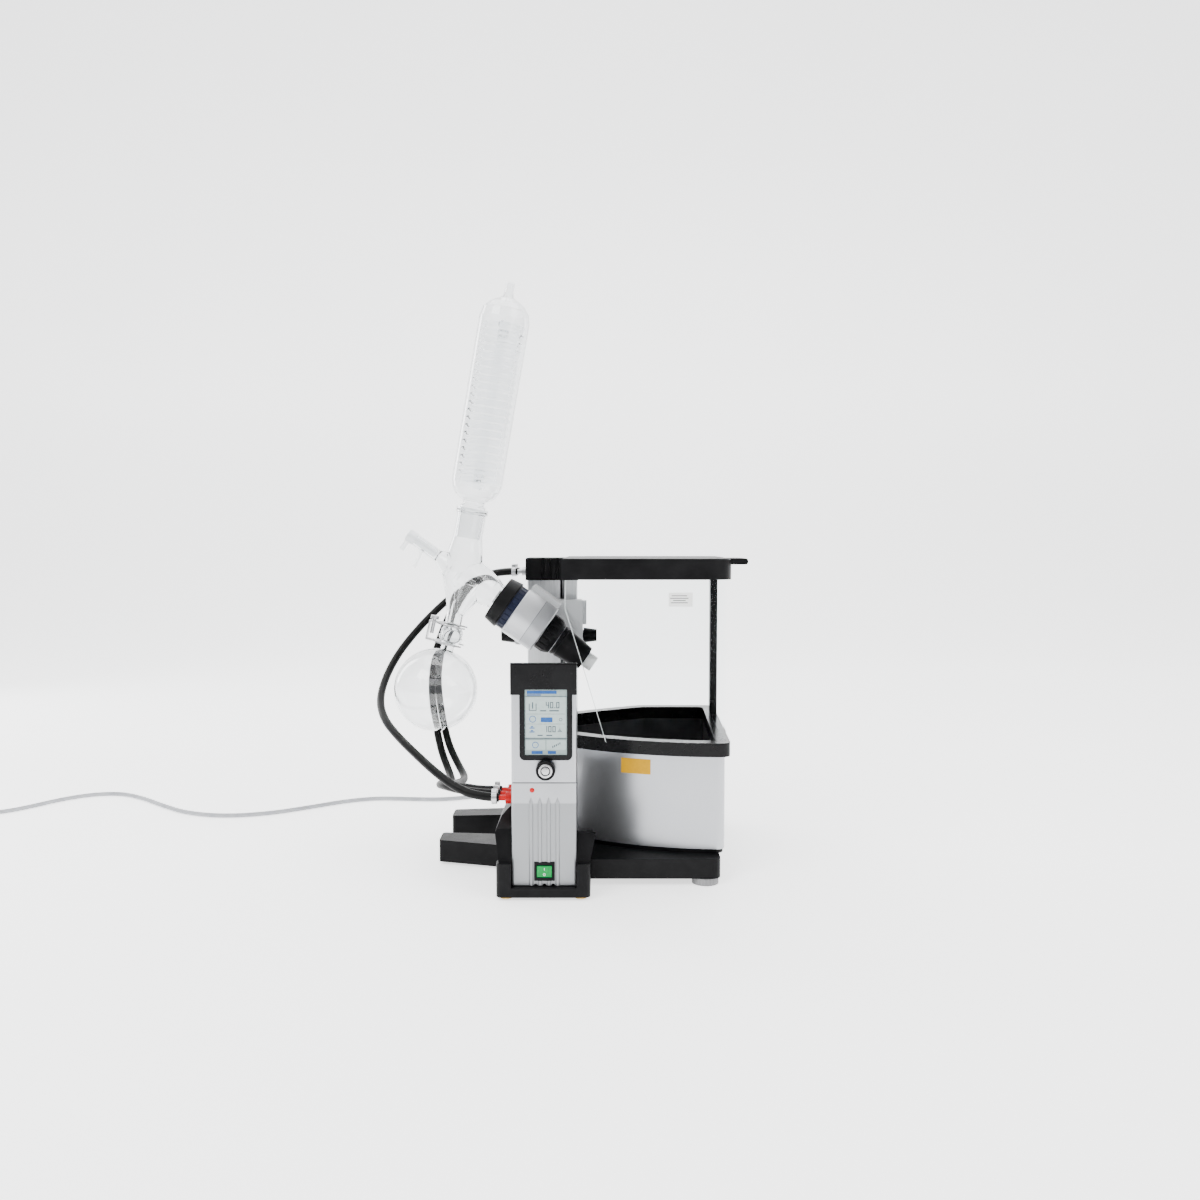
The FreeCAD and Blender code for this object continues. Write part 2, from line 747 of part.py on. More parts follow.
def column_cap():
    """Black cap with half-round grips, the hose ports and the hood's hinge pin."""
    outer = block(
        ("column_left - 2", "cap_front", "column_top + 0.1"), ("column_right + 2", "column_back + 5", "cap_top")
    )
    grips = [
        rod("3", "cap_top - column_top + 4", (f"column_left + 28 + 12 * {i}", "cap_front - 0.4", "column_top - 2"))
        for i in range(3)
    ]
    ports = [
        rod("4.05", "16", ("column_left - 4", f"column_front + 5 + port_pitch * {i}", "port_high"), "X")
        for i in range(3)
    ]
    hinge_pin = rod("hinge_radius", "60", ("hinge_across", "cap_front - 35", "hinge_height"), "Y")
    shell = block(
        ("column_left + 16", "column_front", "column_top - 1"),
        ("column_right - 8", "column_back - 6", "column_top + 10"),
    )
    journal = rod("journal_radius + running_gap", "16", ("slot_middle", "spindle_deep", "column_top + 6"))
    rounded = soften(outer, "3", lambda e: upright(e) or level("cap_top")(e))
    return fuse(cut(rounded, *grips, *ports, shell, journal), hinge_pin)


part("column_cap", column_cap())
part(
    "lift_spindle",
    fuse(
        rod("spindle_radius", "column_top - seat_top - 1", ("slot_middle", "spindle_deep", "seat_top + 0.5")),
        rod("journal_radius", "column_top - seat_top + 28", ("slot_middle", "spindle_deep", "seat_top - 8")),
    ),
)
# ---------------------------------------------------------------- carriage


def carriage_block():
    """Light grey slide block with a tongue that reaches the nut through the column's slot."""
    body = block(
        ("carriage_left", "carriage_front", "carriage_low"), ("carriage_right", "column_front - 1", "carriage_high")
    )
    rounded = soften(body, "4", inwards)
    plate = block(
        ("carriage_right - 10", "carriage_front + 22", "carriage_low + 32"),
        ("carriage_right + 6", "column_front - 1", "carriage_high - 2"),
    )
    tongue = block(
        ("slot_middle - 3", "column_front - 3", "carriage_low + 16"),
        ("slot_middle + 3", "spindle_deep - 12", "carriage_high - 8"),
    )
    clamp_foot = ("carriage_left - 1", "clamp_deep", "clamp_height")
    clamp_bore = rod("4 + running_gap", "carriage_right - carriage_left + 2", clamp_foot, "X")
    pivot_bore = rod("8 + running_gap", "34", ("pivot_across", "carriage_front - 1", "pivot_height"), "Y")
    return cut(fuse(rounded, plate, tongue), clamp_bore, pivot_bore)


part("carriage_block", carriage_block())
part(
    "lift_nut",
    cut(
        block(
            ("slot_middle - 24", "spindle_deep - 12", "carriage_low + 16"),
            ("slot_middle + 13", "spindle_deep + 12", "carriage_high - 8"),
        ),
        rod("spindle_radius + running_gap", "80", ("slot_middle", "spindle_deep", "carriage_low")),
    ),
)


def clamp_knob(face, way):
    """Tapered clamp knob on its own shaft; way is 1 when the knob points to the right."""
    if way > 0:
        shaft = rod("4", "46", (f"{face} - 40", "clamp_deep", "clamp_height"), "X")
        grip = taper("13", "10", "22", (f"{face} + 1.5", "clamp_deep", "clamp_height"), "X")
        collar = rod("9", "3", (f"{face} + 0.5", "clamp_deep", "clamp_height"), "X")
    else:
        shaft = rod("4", "46", (f"{face} - 6", "clamp_deep", "clamp_height"), "X")
        grip = taper("10", "13", "22", (f"{face} - 23.5", "clamp_deep", "clamp_height"), "X")
        collar = rod("9", "3", (f"{face} - 3.5", "clamp_deep", "clamp_height"), "X")
    return fuse(shaft, grip, collar)


part("clamp_knob_right", clamp_knob("carriage_right", 1))
part("clamp_knob_left", clamp_knob("carriage_left", -1))

# ---------------------------------------------------------------- drive, in the frame of the drive axis

def drive_barrel():
    """Silver barrel with two bearing seats and a window behind for the belt."""
    ring = turned(
        [
            ("29", "-barrel_back"),
            ("barrel_radius - 1.5", "-barrel_back"),
            ("barrel_radius", "1.5 - barrel_back"),
            ("barrel_radius", "barrel_front - 1.5"),
            ("barrel_radius - 1.5", "barrel_front"),
            ("29", "barrel_front"),
            ("29", "7"),
            ("35", "7"),
            ("35", "-18"),
            ("29", "-18"),
        ]
    )
    window = block(("-30", "15", "-16"), ("30", "barrel_radius + 5", "2"))
    return cut(ring, window)


part("drive_barrel", drive_barrel(), drive_frame)
part(
    "drive_bearings",
    group(
        *[
            cut(
                rod("28.9", "9", ("0", "0", foot)),
                rod("shaft_radius + running_gap", "11", ("0", "0", f"{foot} - 1")),
            )
            for foot in ("-barrel_back + 3", "barrel_front - 12")
        ]
    ),
    drive_frame,
)


def drive_housing():
    """Light grey gear case behind the barrel, with the tilt pivot pin at its back."""
    low = ("-47", "26", "-barrel_back")
    high = ("38", "carriage_front - drive_deep - 3", "barrel_front - 1")
    case = soften(block(low, high), "3", inwards)
    inner = block(("-44", "30", "-barrel_back + 3"), ("35", "carriage_front - drive_deep - 7", "barrel_front - 4"))
    barrel = rod("barrel_radius + 0.1", "80", ("0", "0", "-barrel_back - 5"))
    pin = rod("8", "32", ("0", "carriage_front - drive_deep - 4", "0"), "Y")
    return fuse(cut(case, inner, barrel), pin)


part("drive_housing", drive_housing(), drive_frame)


def pulley(radius, deep):
    """Flanged belt pulley, still without its bore."""
    wheel = rod(radius, "belt_wide + 1", ("0", deep, "-11.5"))
    flanges = [rod(f"{radius} + 2.6", "1.2", ("0", deep, foot)) for foot in ("-12.6", "-2.6")]
    return [wheel, *flanges]


def belt_loop(radius_shaft, radius_motor):
    """Space within a belt stretched round both pulleys."""
    shaft_x = f"({radius_shaft}) * sqrt(1 - (({radius_shaft} - ({radius_motor})) / motor_offset) ^ 2)"
    motor_x = f"({radius_motor}) * sqrt(1 - (({radius_shaft} - ({radius_motor})) / motor_offset) ^ 2)"
    shaft_y = f"({radius_shaft}) * ({radius_shaft} - ({radius_motor})) / motor_offset"
    motor_y = f"motor_offset + ({radius_motor}) * ({radius_shaft} - ({radius_motor})) / motor_offset"
    straight = padded(
        "XY_Plane",
        [(f"-({shaft_x})", shaft_y), (shaft_x, shaft_y), (motor_x, motor_y), (f"-({motor_x})", motor_y)],
        "belt_wide",
        "-11",
    )
    return fuse(
        straight,
        rod(radius_shaft, "belt_wide", ("0", "0", "-11")),
        rod(radius_motor, "belt_wide", ("0", "motor_offset", "-11")),
    )


part(
    "hollow_shaft",
    cut(
        fuse(
            rod("shaft_radius", "barrel_back + sleeve_end - 40", ("0", "0", "-barrel_back")),
            *pulley("pulley_radius", "0"),
        ),
        rod("vapour_radius + 0.1", "200", ("0", "0", "-80")),
    ),
    drive_frame,
)
part(
    "motor_pulley",
    fuse(rod("3", "24", ("0", "motor_offset", "-18")), *pulley("pinion_radius", "motor_offset")),
    drive_frame,
)
part(
    "drive_belt",
    cut(
        belt_loop("pulley_radius + 1.6", "pinion_radius + 1.6"),
        belt_loop("pulley_radius + running_gap", "pinion_radius + running_gap"),
    ),
    drive_frame,
)
part(
    "drive_motor",
    cut(
        soften(
            block(("-20", "barrel_radius + 1", "4"), ("20", "motor_offset + 22", "barrel_front - 4.5")),
            "4",
            lambda e: e.Length < 20,
        ),
        rod("3 + running_gap", "4", ("0", "motor_offset", "3")),
    ),
    drive_frame,
)


def ejector_ring():
    """Black ring with a deeply notched grip that pushes the flask off its cone."""
    ring = turned(
        [
            ("shaft_radius + 0.1", "barrel_front + 1"),
            ("30.5", "barrel_front + 1"),
            ("31", "barrel_front + 2"),
            ("31", "barrel_front + 14"),
            ("29", "barrel_front + 20"),
            ("26", "barrel_front + 25"),
            ("shaft_radius + 0.1", "barrel_front + 25"),
        ]
    )
    notches = [
        rod("2.2", "16", (f"31.6 * cos({20 * i})", f"31.6 * sin({20 * i})", "barrel_front + 3")) for i in range(18)
    ]
    return cut(ring, *notches)


part("ejector_ring", ejector_ring(), drive_frame)
part(
    "flask_sleeve",
    turned(
        [
            ("shaft_radius + 0.1", "barrel_front + 26"),
            ("25", "barrel_front + 26"),
            ("25", "barrel_front + 30"),
            ("23.6", "barrel_front + 31"),
            ("23.6", "barrel_front + 33"),
            ("24.6", "barrel_front + 34"),
            ("shaft_radius + 2", "sleeve_end - 30"),
            ("sleeve_radius", "sleeve_end - 3"),
            ("sleeve_radius - 1", "sleeve_end"),
            ("vapour_radius + 0.1", "sleeve_end"),
            ("vapour_radius + 0.1", "sleeve_end - 39.5"),
            ("shaft_radius + 0.1", "sleeve_end - 39.5"),
        ]
    ),
    drive_frame,
)
part(
    "vapour_tube",
    cut(
        fuse(
            rod("vapour_radius", "vapour_end + 70", ("0", "0", "-70")),
            rod("joint_radius", "joint_long", ("0", "0", "vapour_end - joint_long")),
        ),
        rod("vapour_radius - glass_wall", "vapour_end + 74", ("0", "0", "-72")),
    ),
    drive_frame,
)


def flange_collar():
    """Fixed grooved collar with the spigot that the flange nut turns on."""
    ring = turned(
        [
            ("shaft_radius + 1", "-barrel_back - 0.1"),
            ("37.5", "-barrel_back - 0.1"),
            ("37.5", "-nut_start + 0.6"),
            ("33", "-nut_start + 0.6"),
            ("33", "-57"),
            ("vapour_radius + running_gap", "-57"),
            ("vapour_radius + running_gap", "-nut_start"),
            ("shaft_radius + 1", "-nut_start"),
        ]
    )
    notches = [
        rod("1.6", "9", (f"38 * cos({15 * i})", f"38 * sin({15 * i})", "-nut_start + 2.5")) for i in range(24)
    ]
    return cut(ring, *notches)


part("flange_collar", flange_collar(), drive_frame)
part(
    "flange_nut",
    cut(
        turned(
            [
                ("33 + running_gap", "-nut_start"),
                ("40", "-nut_start"),
                ("40.3", "-nut_start - 2"),
                ("37.5", "-nut_end + 1"),
                ("36.5", "-nut_end"),
                ("24.5", "-nut_end"),
                ("24.5", "-62.5"),
                ("33 + running_gap", "-62.5"),
            ]
        ),
        *[rod("2.2", "16", (f"41.6 * cos({30 * i})", f"41.6 * sin({30 * i})", "-nut_end - 1")) for i in range(12)],
    ),
    drive_frame,
)

# ---------------------------------------------------------------- glass, in the frame of the condenser axis


def pipe(radius, start, end):
    """A plain round bar between two points."""
    way = V(*end) - V(*start)
    return Part.makeCylinder(radius, way.Length, V(*start), way)


def revolve(profile):
    """A solid of revolution about Z from (radius, height) points."""
    wire = Part.makePolygon([V(r, 0, z) for r, z in profile] + [V(profile[0][0], 0, profile[0][1])])
    return Part.Face(wire).revolve(V(), V(0, 0, 1), 360)


def inset(profile, amount):
    """The same stations of a vessel's profile with each radius smaller by the wall."""
    return [(max(r - amount, 0), z) for r, z in profile]


def aimed(profile, foot, way):
    """The same kind of solid, standing at a point with its axis along a direction."""
    item = revolve(profile)
    item.Placement = FreeCAD.Placement(foot, FreeCAD.Rotation(V(0, 0, 1), way))
    return item


WALL = size("glass_wall")
BRANCH_ANGLE = math.radians(size("drive_tilt - glass_tilt"))
BRANCH = V(math.cos(BRANCH_ANGLE), 0, -math.sin(BRANCH_ANGLE))
TAP_WAY = V(-0.903, 0, 0.43)
HANDLE_WAY = V(-0.43, 0, -0.903)
TAP_BORE = 6
TAP_NIPPLE = (V(-65, 0, 31), V(-75, 0, -5))


def distribution_head():
    """Glass head: ball joint below, flange branch to the drive, tap port, and the condenser's socket above."""
    low = -size("ball_drop")
    flange = size("(pivot_across - glass_across) / cos(drive_tilt)")
    socket, rim = size("socket_high"), size("socket_radius")
    neck = rim - 2.5
    bowl = [
        (12.5, low + 14), (13.5, -62), (17, -48), (22, -30), (27, -15), (31, 0), (30, 15), (27, 35), (24, 50),
        (neck, 60), (neck, socket - 12),
    ]
    rings = [
        (rim, socket - 11), (rim, socket - 8.5), (rim - 1.2, socket - 7.5), (rim, socket - 6.5), (rim, socket - 3),
    ]
    branch = [(14, -20), (25, -12), (31, -2), (33, 6), (30, 35), (25.5, 55), (22, 64), (22, flange - 64)]
    skirt = [(20, -14), (30, -6), (33, 2), (14, 50), (12.5, 54), (9, 57)]
    tap = [(24, 10), (22, 22), (10.5, 43.5), (9.3, 46)]
    skirt_foot, skirt_way = V(14, 0, -12), V(-11, 0, -50)
    outer = revolve([(0, low + 14), *bowl, *rings, (0, socket - 3)]).fuse([
        Part.makeSphere(size("ball_radius"), V(0, 0, low)),
        aimed([(0, -22), *branch, (22, flange - 60), (0, flange - 60)], V(), BRANCH),
        aimed([(0, -16), *skirt, (0, 57)], skirt_foot, skirt_way),
        aimed([(0, 10), *tap, (9.3, 88), (0, 88)], V(), TAP_WAY),
        pipe(30, BRANCH * (flange - 61.8), BRANCH * (flange - 57.2)),
        pipe(3, *TAP_NIPPLE),
    ])
    bore = inset(bowl, WALL)
    nozzle = TAP_NIPPLE[1] - TAP_NIPPLE[0]
    branch_bore = [(0, -19), *inset(branch, WALL), (13.8, flange - 63), (13.8, flange - 50), (0, flange - 50)]
    barrel = TAP_BORE + 0.08
    tap_bore = [(0, 12), *inset(tap[:3], WALL), (barrel, 46), (barrel, 95), (0, 95)]
    bowl_bore = [(0, low + 10), (bore[0][0], low + 10), *bore, (bore[-1][0], socket + 2), (0, socket + 2)]
    inner = revolve(bowl_bore).fuse([
        pipe(8, (0, 0, low - 20), (0, 0, low + 20)),
        aimed(branch_bore, V(), BRANCH),
        aimed([(0, -13), *inset(skirt, WALL), (0, 54)], skirt_foot, skirt_way),
        aimed(tap_bore, V(), TAP_WAY),
        pipe(1.6, TAP_NIPPLE[0], TAP_NIPPLE[1] + nozzle * 0.1),
    ])
    cup = Part.makeSphere(size("ball_radius") - 4, V(0, 0, low - 3))
    return solid(outer.cut(inner.fuse(cup)))


part("distribution_head", distribution_head(), glass_frame)
part(
    "tap_plug",
    solid(
        pipe(TAP_BORE, TAP_WAY * 50, TAP_WAY * 96)
        .fuse(pipe(10, TAP_WAY * 89, TAP_WAY * 103))
        .fuse(pipe(4.5, TAP_WAY * 97.5 - HANDLE_WAY * 9, TAP_WAY * 97.5 + HANDLE_WAY * 25))
    ),
    glass_frame,
)


def water_nipple(radius, foot):
    """Hose nipple on a thicker root, and its bore, on the back of the jacket."""
    way = V(0, 22, 6).normalize()
    start = V(0, radius - 4, foot)
    root, end = start + way * 9.8, start + way * 22.8
    return [pipe(6.5, start, root), pipe(5, start, end)], pipe(2.8, start - way * 4, end + way * 4)


def condenser_jacket():
    """Closed glass jacket over a ground socket, with a dome, a top nipple and two water nipples."""
    low, high, socket = size("jacket_low"), size("jacket_high"), size("socket_high")
    radius, cone = size("jacket_radius"), size("socket_radius - 2.5 - glass_wall - 0.4")
    outer = [
        (cone - 0.8, socket - 50), (cone, socket), (16.5, socket + 3), (16.5, low - 21), (17.5, low - 18),
        (24, low - 14), (31, low - 8), (radius - 3, low + 1), (radius - 0.5, low + 10), (radius, low + 17),
        (radius, high - 6), (radius - 3, high + 8), (radius - 11, high + 18), (18, high + 25), (9, high + 30),
        (7, high + 36), (7, high + 52),
    ]
    bore = inset(outer, WALL)
    shell = revolve([(0, socket - 50), *outer, (0, high + 52)])
    inner = [(0, socket - 52), (bore[0][0], socket - 52), *bore, (bore[-1][0], high + 54), (0, high + 54)]
    nipples, bores = [], [revolve(inner)]
    for foot in (low + 22, high - 22):
        pipes, hole = water_nipple(radius, foot)
        nipples += pipes
        bores.append(hole)
    return solid(shell.fuse(nipples).cut(bores[0].fuse(bores[1:])))


part("condenser_jacket", condenser_jacket(), glass_frame)


def condenser_coil():
    """Helical glass coil with a straight return along its axis."""
    low, high = size("jacket_low + 6"), size("jacket_high - 10")
    helix = Part.makeHelix(size("coil_pitch"), high - low, size("coil_radius"))
    helix.translate(V(0, 0, low))
    circle = Part.Wire(Part.Circle(V(size("coil_radius"), 0, low), V(0, 1, 0), size("coil_tube")).toShape())
    coil = Part.Wire(helix.Edges).makePipeShell([circle], True, False)
    core = Part.makeCylinder(6.5, high - low + 8, V(0, 0, low - 4))
    links = [pipe(size("coil_tube - 0.5"), (0, 0, end), (size("coil_radius"), 0, end)) for end in (low, high)]
    return solid(core.fuse([coil, *links]))


part("condenser_coil", condenser_coil(), glass_frame)

# ---------------------------------------------------------------- receiving flask and its clamp

ball = glass_frame.multVec(V(0, 0, -size("ball_drop")))
flask_frame = FreeCAD.Placement(ball, FreeCAD.Rotation(V(0, 1, 0), size("flask_tilt")))


def receiving_flask():
    """Round flask hanging from its spherical cup."""
    radius, drop = size("flask_radius"), size("flask_drop")
    seat = size("ball_radius + 0.3")
    cup = Part.makeSphere(seat + WALL, V()).cut(Part.makeBox(60, 60, 60, V(-30, -30, -5)))
    middle, neck = V(0, 0, -drop), 10.5
    outer = Part.makeSphere(radius, middle).fuse([pipe(neck, (0, 0, -18), (0, 0, -drop + radius - 8)), cup])
    inner = Part.makeSphere(radius - WALL, middle).fuse([
        pipe(neck - WALL, (0, 0, -10), (0, 0, -drop + radius - 12)),
        Part.makeSphere(seat, V()),
    ])
    return solid(outer.cut(inner))


part("receiving_flask", receiving_flask(), flask_frame)


def clamp_fork(height):
    """One fork plate of the pinch clamp, open towards +X."""
    plate = Part.makeCylinder(26, 2, V(0, 0, height)).cut(Part.makeCylinder(15.4, 6, V(0, 0, height - 2)))
    mouth = Part.makeBox(40, 31, 6, V(0, -15.5, height - 2))
    arm = Part.makeBox(18, 14, 2, V(-38, -7, height))
    return plate.cut(mouth).fuse(arm)


def ball_clamp():
    """Steel pinch clamp round the ball joint: two forks joined by a bent spine."""
    spine = Part.makeBox(2, 14, 31, V(-38, -7, -17))
    low, high = clamp_fork(-17), clamp_fork(12)
    return solid(low.fuse([high, spine]).cut(Part.makeCylinder(3 + 0.08, 12, V(-31, 0, 8))))


clamp_frame = leaning(
    "glass_across - ball_drop * sin(glass_tilt)", "glass_height - ball_drop * cos(glass_tilt)", "flask_tilt - 3"
)
part("ball_clamp", ball_clamp(), clamp_frame)
part(
    "clamp_screw",
    solid(Part.makeCylinder(3, 26, V(-31, 0, -6)).fuse(Part.makeCylinder(6.5, 5, V(-31, 0, 17)))),
    clamp_frame,
)

# ---------------------------------------------------------------- heating bath

BATH_CORNERS = [
    ("bath_right + 7", "bath_front - 5", "-0.962", "1", "390"),
    ("bath_right + 20", "bath_back + 2", "-1.039", "-1", ""),
    ("127", "bath_back + 2", "0.2254", "-1", ""),
    ("bath_nose - 5", "60", "1", "-0.424", "685"),
    ("bath_nose - 5", "-21", "1", "0.378", ""),
]


def bath_prism(inwards, low, high):
    """A prism of the bath's plan, moved inwards all round."""
    plan = []
    for across, deep, in_x, in_y, radius in BATH_CORNERS:
        corner = (f"{across} + ({in_x}) * ({inwards})", f"{deep} + ({in_y}) * ({inwards})")
        plan.append(corner + (f"{radius} - ({inwards})",) if radius else corner)
    body = padded("XY_Plane", plan, f"({high}) - ({low})", low)
    return soften(body, f"14 - ({inwards}) * 0.2", upright)


def bath_ring(outer, inner, low, high):
    return cut(bath_prism(outer, low, high), bath_prism(inner, f"({low}) - 2", f"({high}) + 2"))


part("bath_bottom", bath_prism("9", "hub_top", "bath_low"))
part("bath_wall", bath_ring("7", "10", "bath_low", "bath_high"))
part("bath_rim", bath_ring("0", "rim_wide + 0.5", "bath_high", "rim_top"))
part(
    "bath_pan",
    cut(
        bath_prism("rim_wide - 2", "pan_floor", "bath_high - 0.1"),
        bath_prism("rim_wide", "pan_floor + 2", "rim_top"),
    ),
)

# ---------------------------------------------------------------- hood


def hood_lid():
    """Black lid with a deep skirt, the hinge lug at its left, a pull tab and the rear post at its right."""
    plan = [
        ("lid_left", "-150"),
        ("lid_right - 34", "-150"),
        ("lid_right", "-116", "34"),
        ("lid_right + lid_flare", "60"),
        ("lid_right + lid_flare", "140"),
        ("carriage_right + 2", "140"),
        ("carriage_right + 2", "cap_front - 4"),
        ("lid_left", "cap_front - 4"),
    ]
    slab = padded("XY_Plane", plan, "lid_top - lid_low", "lid_low")
    recess = padded(
        "XY_Plane",
        [
            ("lid_left + 22", "-138"),
            ("lid_right - 40", "-138"),
            ("lid_right - 12", "-110", "28"),
            ("lid_right - 12", "128"),
            ("carriage_right + 14", "128"),
            ("carriage_right + 14", "cap_front - 16"),
            ("lid_left + 22", "cap_front - 16"),
        ],
        "lid_top - lid_low - 6",
        "lid_low - 1",
    )
    tab = soften(
        block(("lid_right - 8", "-120", "lid_top - 9"), ("tab_end", "-40", "lid_top - 0.1")),
        "3.5",
        lambda e: e.Length > 70 and e.Vertexes[0].Point.x > size("tab_end") - 1,
    )
    hinge_bore = rod("hinge_radius + running_gap", "40", ("hinge_across", "cap_front - 40", "hinge_height"), "Y")
    post = soften(block(("pane_right + 0.3", "96", "pane_low"), ("252", "118", "lid_low + 2")), "2.5", upright)
    return fuse(cut(fuse(soften(slab, "3", level("lid_top")), tab), recess, hinge_bore), post)


part("hood_lid", hood_lid())


def hood_pane_front():
    """Clear pane: front, round right corner and right side, with a slanted lower left edge."""
    outer = [("8", "-148"), ("pane_right - 32", "-148"), ("pane_right", "-116", "32"), ("pane_right", "138")]
    inner = [
        ("pane_right - pane_thick", "138"),
        ("pane_right - pane_thick", "-116"),
        ("pane_right - 32", "pane_thick - 148", "-(32 - pane_thick)"),
        ("8", "pane_thick - 148"),
    ]
    wall = padded("XY_Plane", outer + inner, "lid_low - pane_low - 0.1", "pane_low")
    slant = padded(
        "XZ_Plane",
        [("0", "pane_low - 5"), ("67", "pane_low - 5"), ("17", "362"), ("8", "390"), ("0", "390")],
        "60",
        "110",
    )
    return cut(wall, slant)


part("hood_pane_front", hood_pane_front())
part(
    "hood_pane_rear",
    block(("56", "134", "pane_low"), ("pane_right - pane_thick - 0.1", "134 + pane_thick", "lid_low - 0.1")),
)

# ---------------------------------------------------------------- hoses

PORTS = range(3)
part(
    "column_fittings",
    group(
        *[
            fuse(
                rod("4", "29", ("column_left - 17", f"column_front + 5 + port_pitch * {i}", "port_high"), "X"),
                rod("7", "7", ("column_left - 9.2", f"column_front + 5 + port_pitch * {i}", "port_high"), "X"),
            )
            for i in PORTS
        ]
    ),
)
part(
    "tower_connectors",
    group(
        *[
            fuse(
                rod("4", "28", ("tower_left - 21", f"port_front + port_pitch * {i}", "port_height"), "X"),
                rod("8", "12", ("tower_left - 11.2", f"port_front + port_pitch * {i}", "port_height"), "X"),
            )
            for i in PORTS
        ]
    ),
)


def hose_clamp(left, deep, height):
    """One steel band clamp with its screw block."""
    band = rod("8.6", "7", (left, deep, height), "X")
    screw = block((left, f"{deep} - 3", height), (f"{left} + 7", f"{deep} + 3", f"{height} + 12"))
    return cut(fuse(band, screw), rod("hose_radius + 0.6", "9", (f"{left} - 1", deep, height), "X"))


part(
    "hose_clamps",
    group(
        *[hose_clamp("column_left - 27", f"column_front + 5 + port_pitch * {i}", "port_high") for i in PORTS],
        *[hose_clamp("tower_left - 31", f"port_front + port_pitch * {i}", "port_height") for i in PORTS],
    ),
)


HOSE_ROUTES = {
    "hose_front": [
        (-84, 155, 434), (-118, 155, 434), (-157, 157, 420), (-194, 159, 395), (-229, 153, 363),
        (-260, 134, 328), (-282, 103, 295), (-294, 64, 261), (-293, 18, 233), (-276, -28, 211),
        (-246, -70, 192), (-212, -110, 174), (-180, -144, 157), (-148, -169, 141), (-116, -180, 130),
        (-84, -180, 128),
    ],
    "hose_middle": [
        (-84, 177, 434), (-118, 177, 434), (-155, 180, 422), (-184, 183, 396), (-204, 183, 362),
        (-219, 175, 325), (-229, 162, 288), (-231, 143, 250), (-226, 120, 214), (-216, 98, 176),
        (-206, 84, 138), (-188, 56, 108), (-177, 14, 101), (-179, -26, 108), (-183, -62, 118),
        (-180, -98, 127), (-168, -127, 132), (-146, -148, 132), (-116, -158, 129), (-84, -158, 128),
    ],
    "hose_rear": [
        (-84, 199, 434), (-118, 199, 434), (-151, 202, 423), (-177, 204, 399), (-197, 201, 366),
        (-211, 190, 329), (-220, 176, 292), (-222, 156, 254), (-216, 133, 219), (-206, 111, 181),
        (-195, 95, 146), (-176, 72, 118), (-160, 36, 106), (-160, -2, 108), (-164, -38, 114),
        (-164, -85, 123), (-154, -108, 127), (-136, -126, 129), (-113, -136, 128), (-84, -136, 128),
    ],
}
for name, route in HOSE_ROUTES.items():
    part(name, solid(tube_along(route, size("hose_radius"))))

# ---------------------------------------------------------------- mains lead

LEAD_ROUTE = [
    (-20, 266, 28), (-28, 303, 25), (-52, 334, 14), (-90, 346, 4.5), (-134, 336, 3.75),
    (-182, 312, 3.75), (-240, 290, 3.75), (-306, 296, 3.75), (-366, 301, 3.75), (-420, 277, 3.75),
    (-468, 238, 3.75), (-530, 194, 3.75), (-602, 176, 3.75), (-676, 196, 3.75), (-740, 246, 3.75),
    (-800, 300, 3.75), (-858, 337, 3.75), (-912, 330, 3.75), (-952, 292, 3.75), (-978, 244, 3.75),
    (-1006, 206, 3.75), (-1042, 196, 3.75),
]
part(
    "mains_inlet",
    cut(
        block(("-34.8", "hub_back - 12", "inlet_height - 11.8"), ("-5.2", "hub_back + 2", "inlet_height + 11.8")),
        block(("-31", "hub_back - 6", "inlet_height - 8.5"), ("-9", "hub_back + 3", "inlet_height + 8.5")),
    ),
)
part(
    "lead_connector",
    fuse(
        soften(
            block(
                ("-30.8", "hub_back - 5.8", "inlet_height - 8.3"), ("-9.2", "hub_back + 16", "inlet_height + 8.3")
            ),
            "3",
            inwards,
        ),
        taper("6.5", "lead_radius + 0.8", "20", ("-20", "hub_back + 16", "inlet_height"), "Y"),
    ),
)
part("mains_lead", solid(tube_along(LEAD_ROUTE, size("lead_radius"))))


def lead_coil():
    """Outer shape of the put-away turns of the lead."""
    coil = doc.addObject("Part::Torus", "coil")
    bind(coil, "Radius1", "coil_ring")
    bind(coil, "Radius2", "coil_bundle")
    locate(coil, ("coil_across", "coil_deep", "coil_bundle + 0.1"))
    return coil


part("lead_coil", lead_coil())
part(
    "lead_tie",
    cut(
        block(
            ("coil_across - coil_ring - coil_bundle - 2", "coil_deep - 5", "0.1"),
            ("coil_across - coil_ring + coil_bundle + 2", "coil_deep + 5", "coil_bundle * 2 + 2"),
        ),
        rod("coil_bundle + 0.35", "14", ("coil_across - coil_ring", "coil_deep - 7", "coil_bundle + 0.1"), "Y"),
    ),
)
part(
    "mains_plug",
    fuse(
        soften(
            block(("coil_across - 74", "lead_end - 17", "0"), ("coil_across - 44", "lead_end + 17", "30")),
            "5",
            lambda e: abs(e.tangentAt(e.FirstParameter).x) > 0.99,
        ),
        taper("7.5", "lead_radius + 0.8", "22", ("coil_across - 44", "lead_end", "15"), "X"),
        rod("2.4", "19", ("coil_across - 92", "lead_end - 9.5", "15"), "X"),
        rod("2.4", "19", ("coil_across - 92", "lead_end + 9.5", "15"), "X"),
    ),
)

# ---------------------------------------------------------------- checks and STEP files

doc.recompute()
failures = [item.Label for item in doc.Objects if {"Invalid", "Error"} & set(item.State)]
for name, item in PARTS.items():
    shape = item.Shape
    if shape.isNull() or not shape.isValid() or not shape.Solids:
        failures.append(name)
if failures:
    raise RuntimeError(f"not a valid solid: {failures}")

os.makedirs("parts", exist_ok=True)
for name, item in PARTS.items():
    item.Shape.exportStep(f"parts/{name}.step")
print(len(PARTS), "sub-parts written")
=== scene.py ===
import json
import math

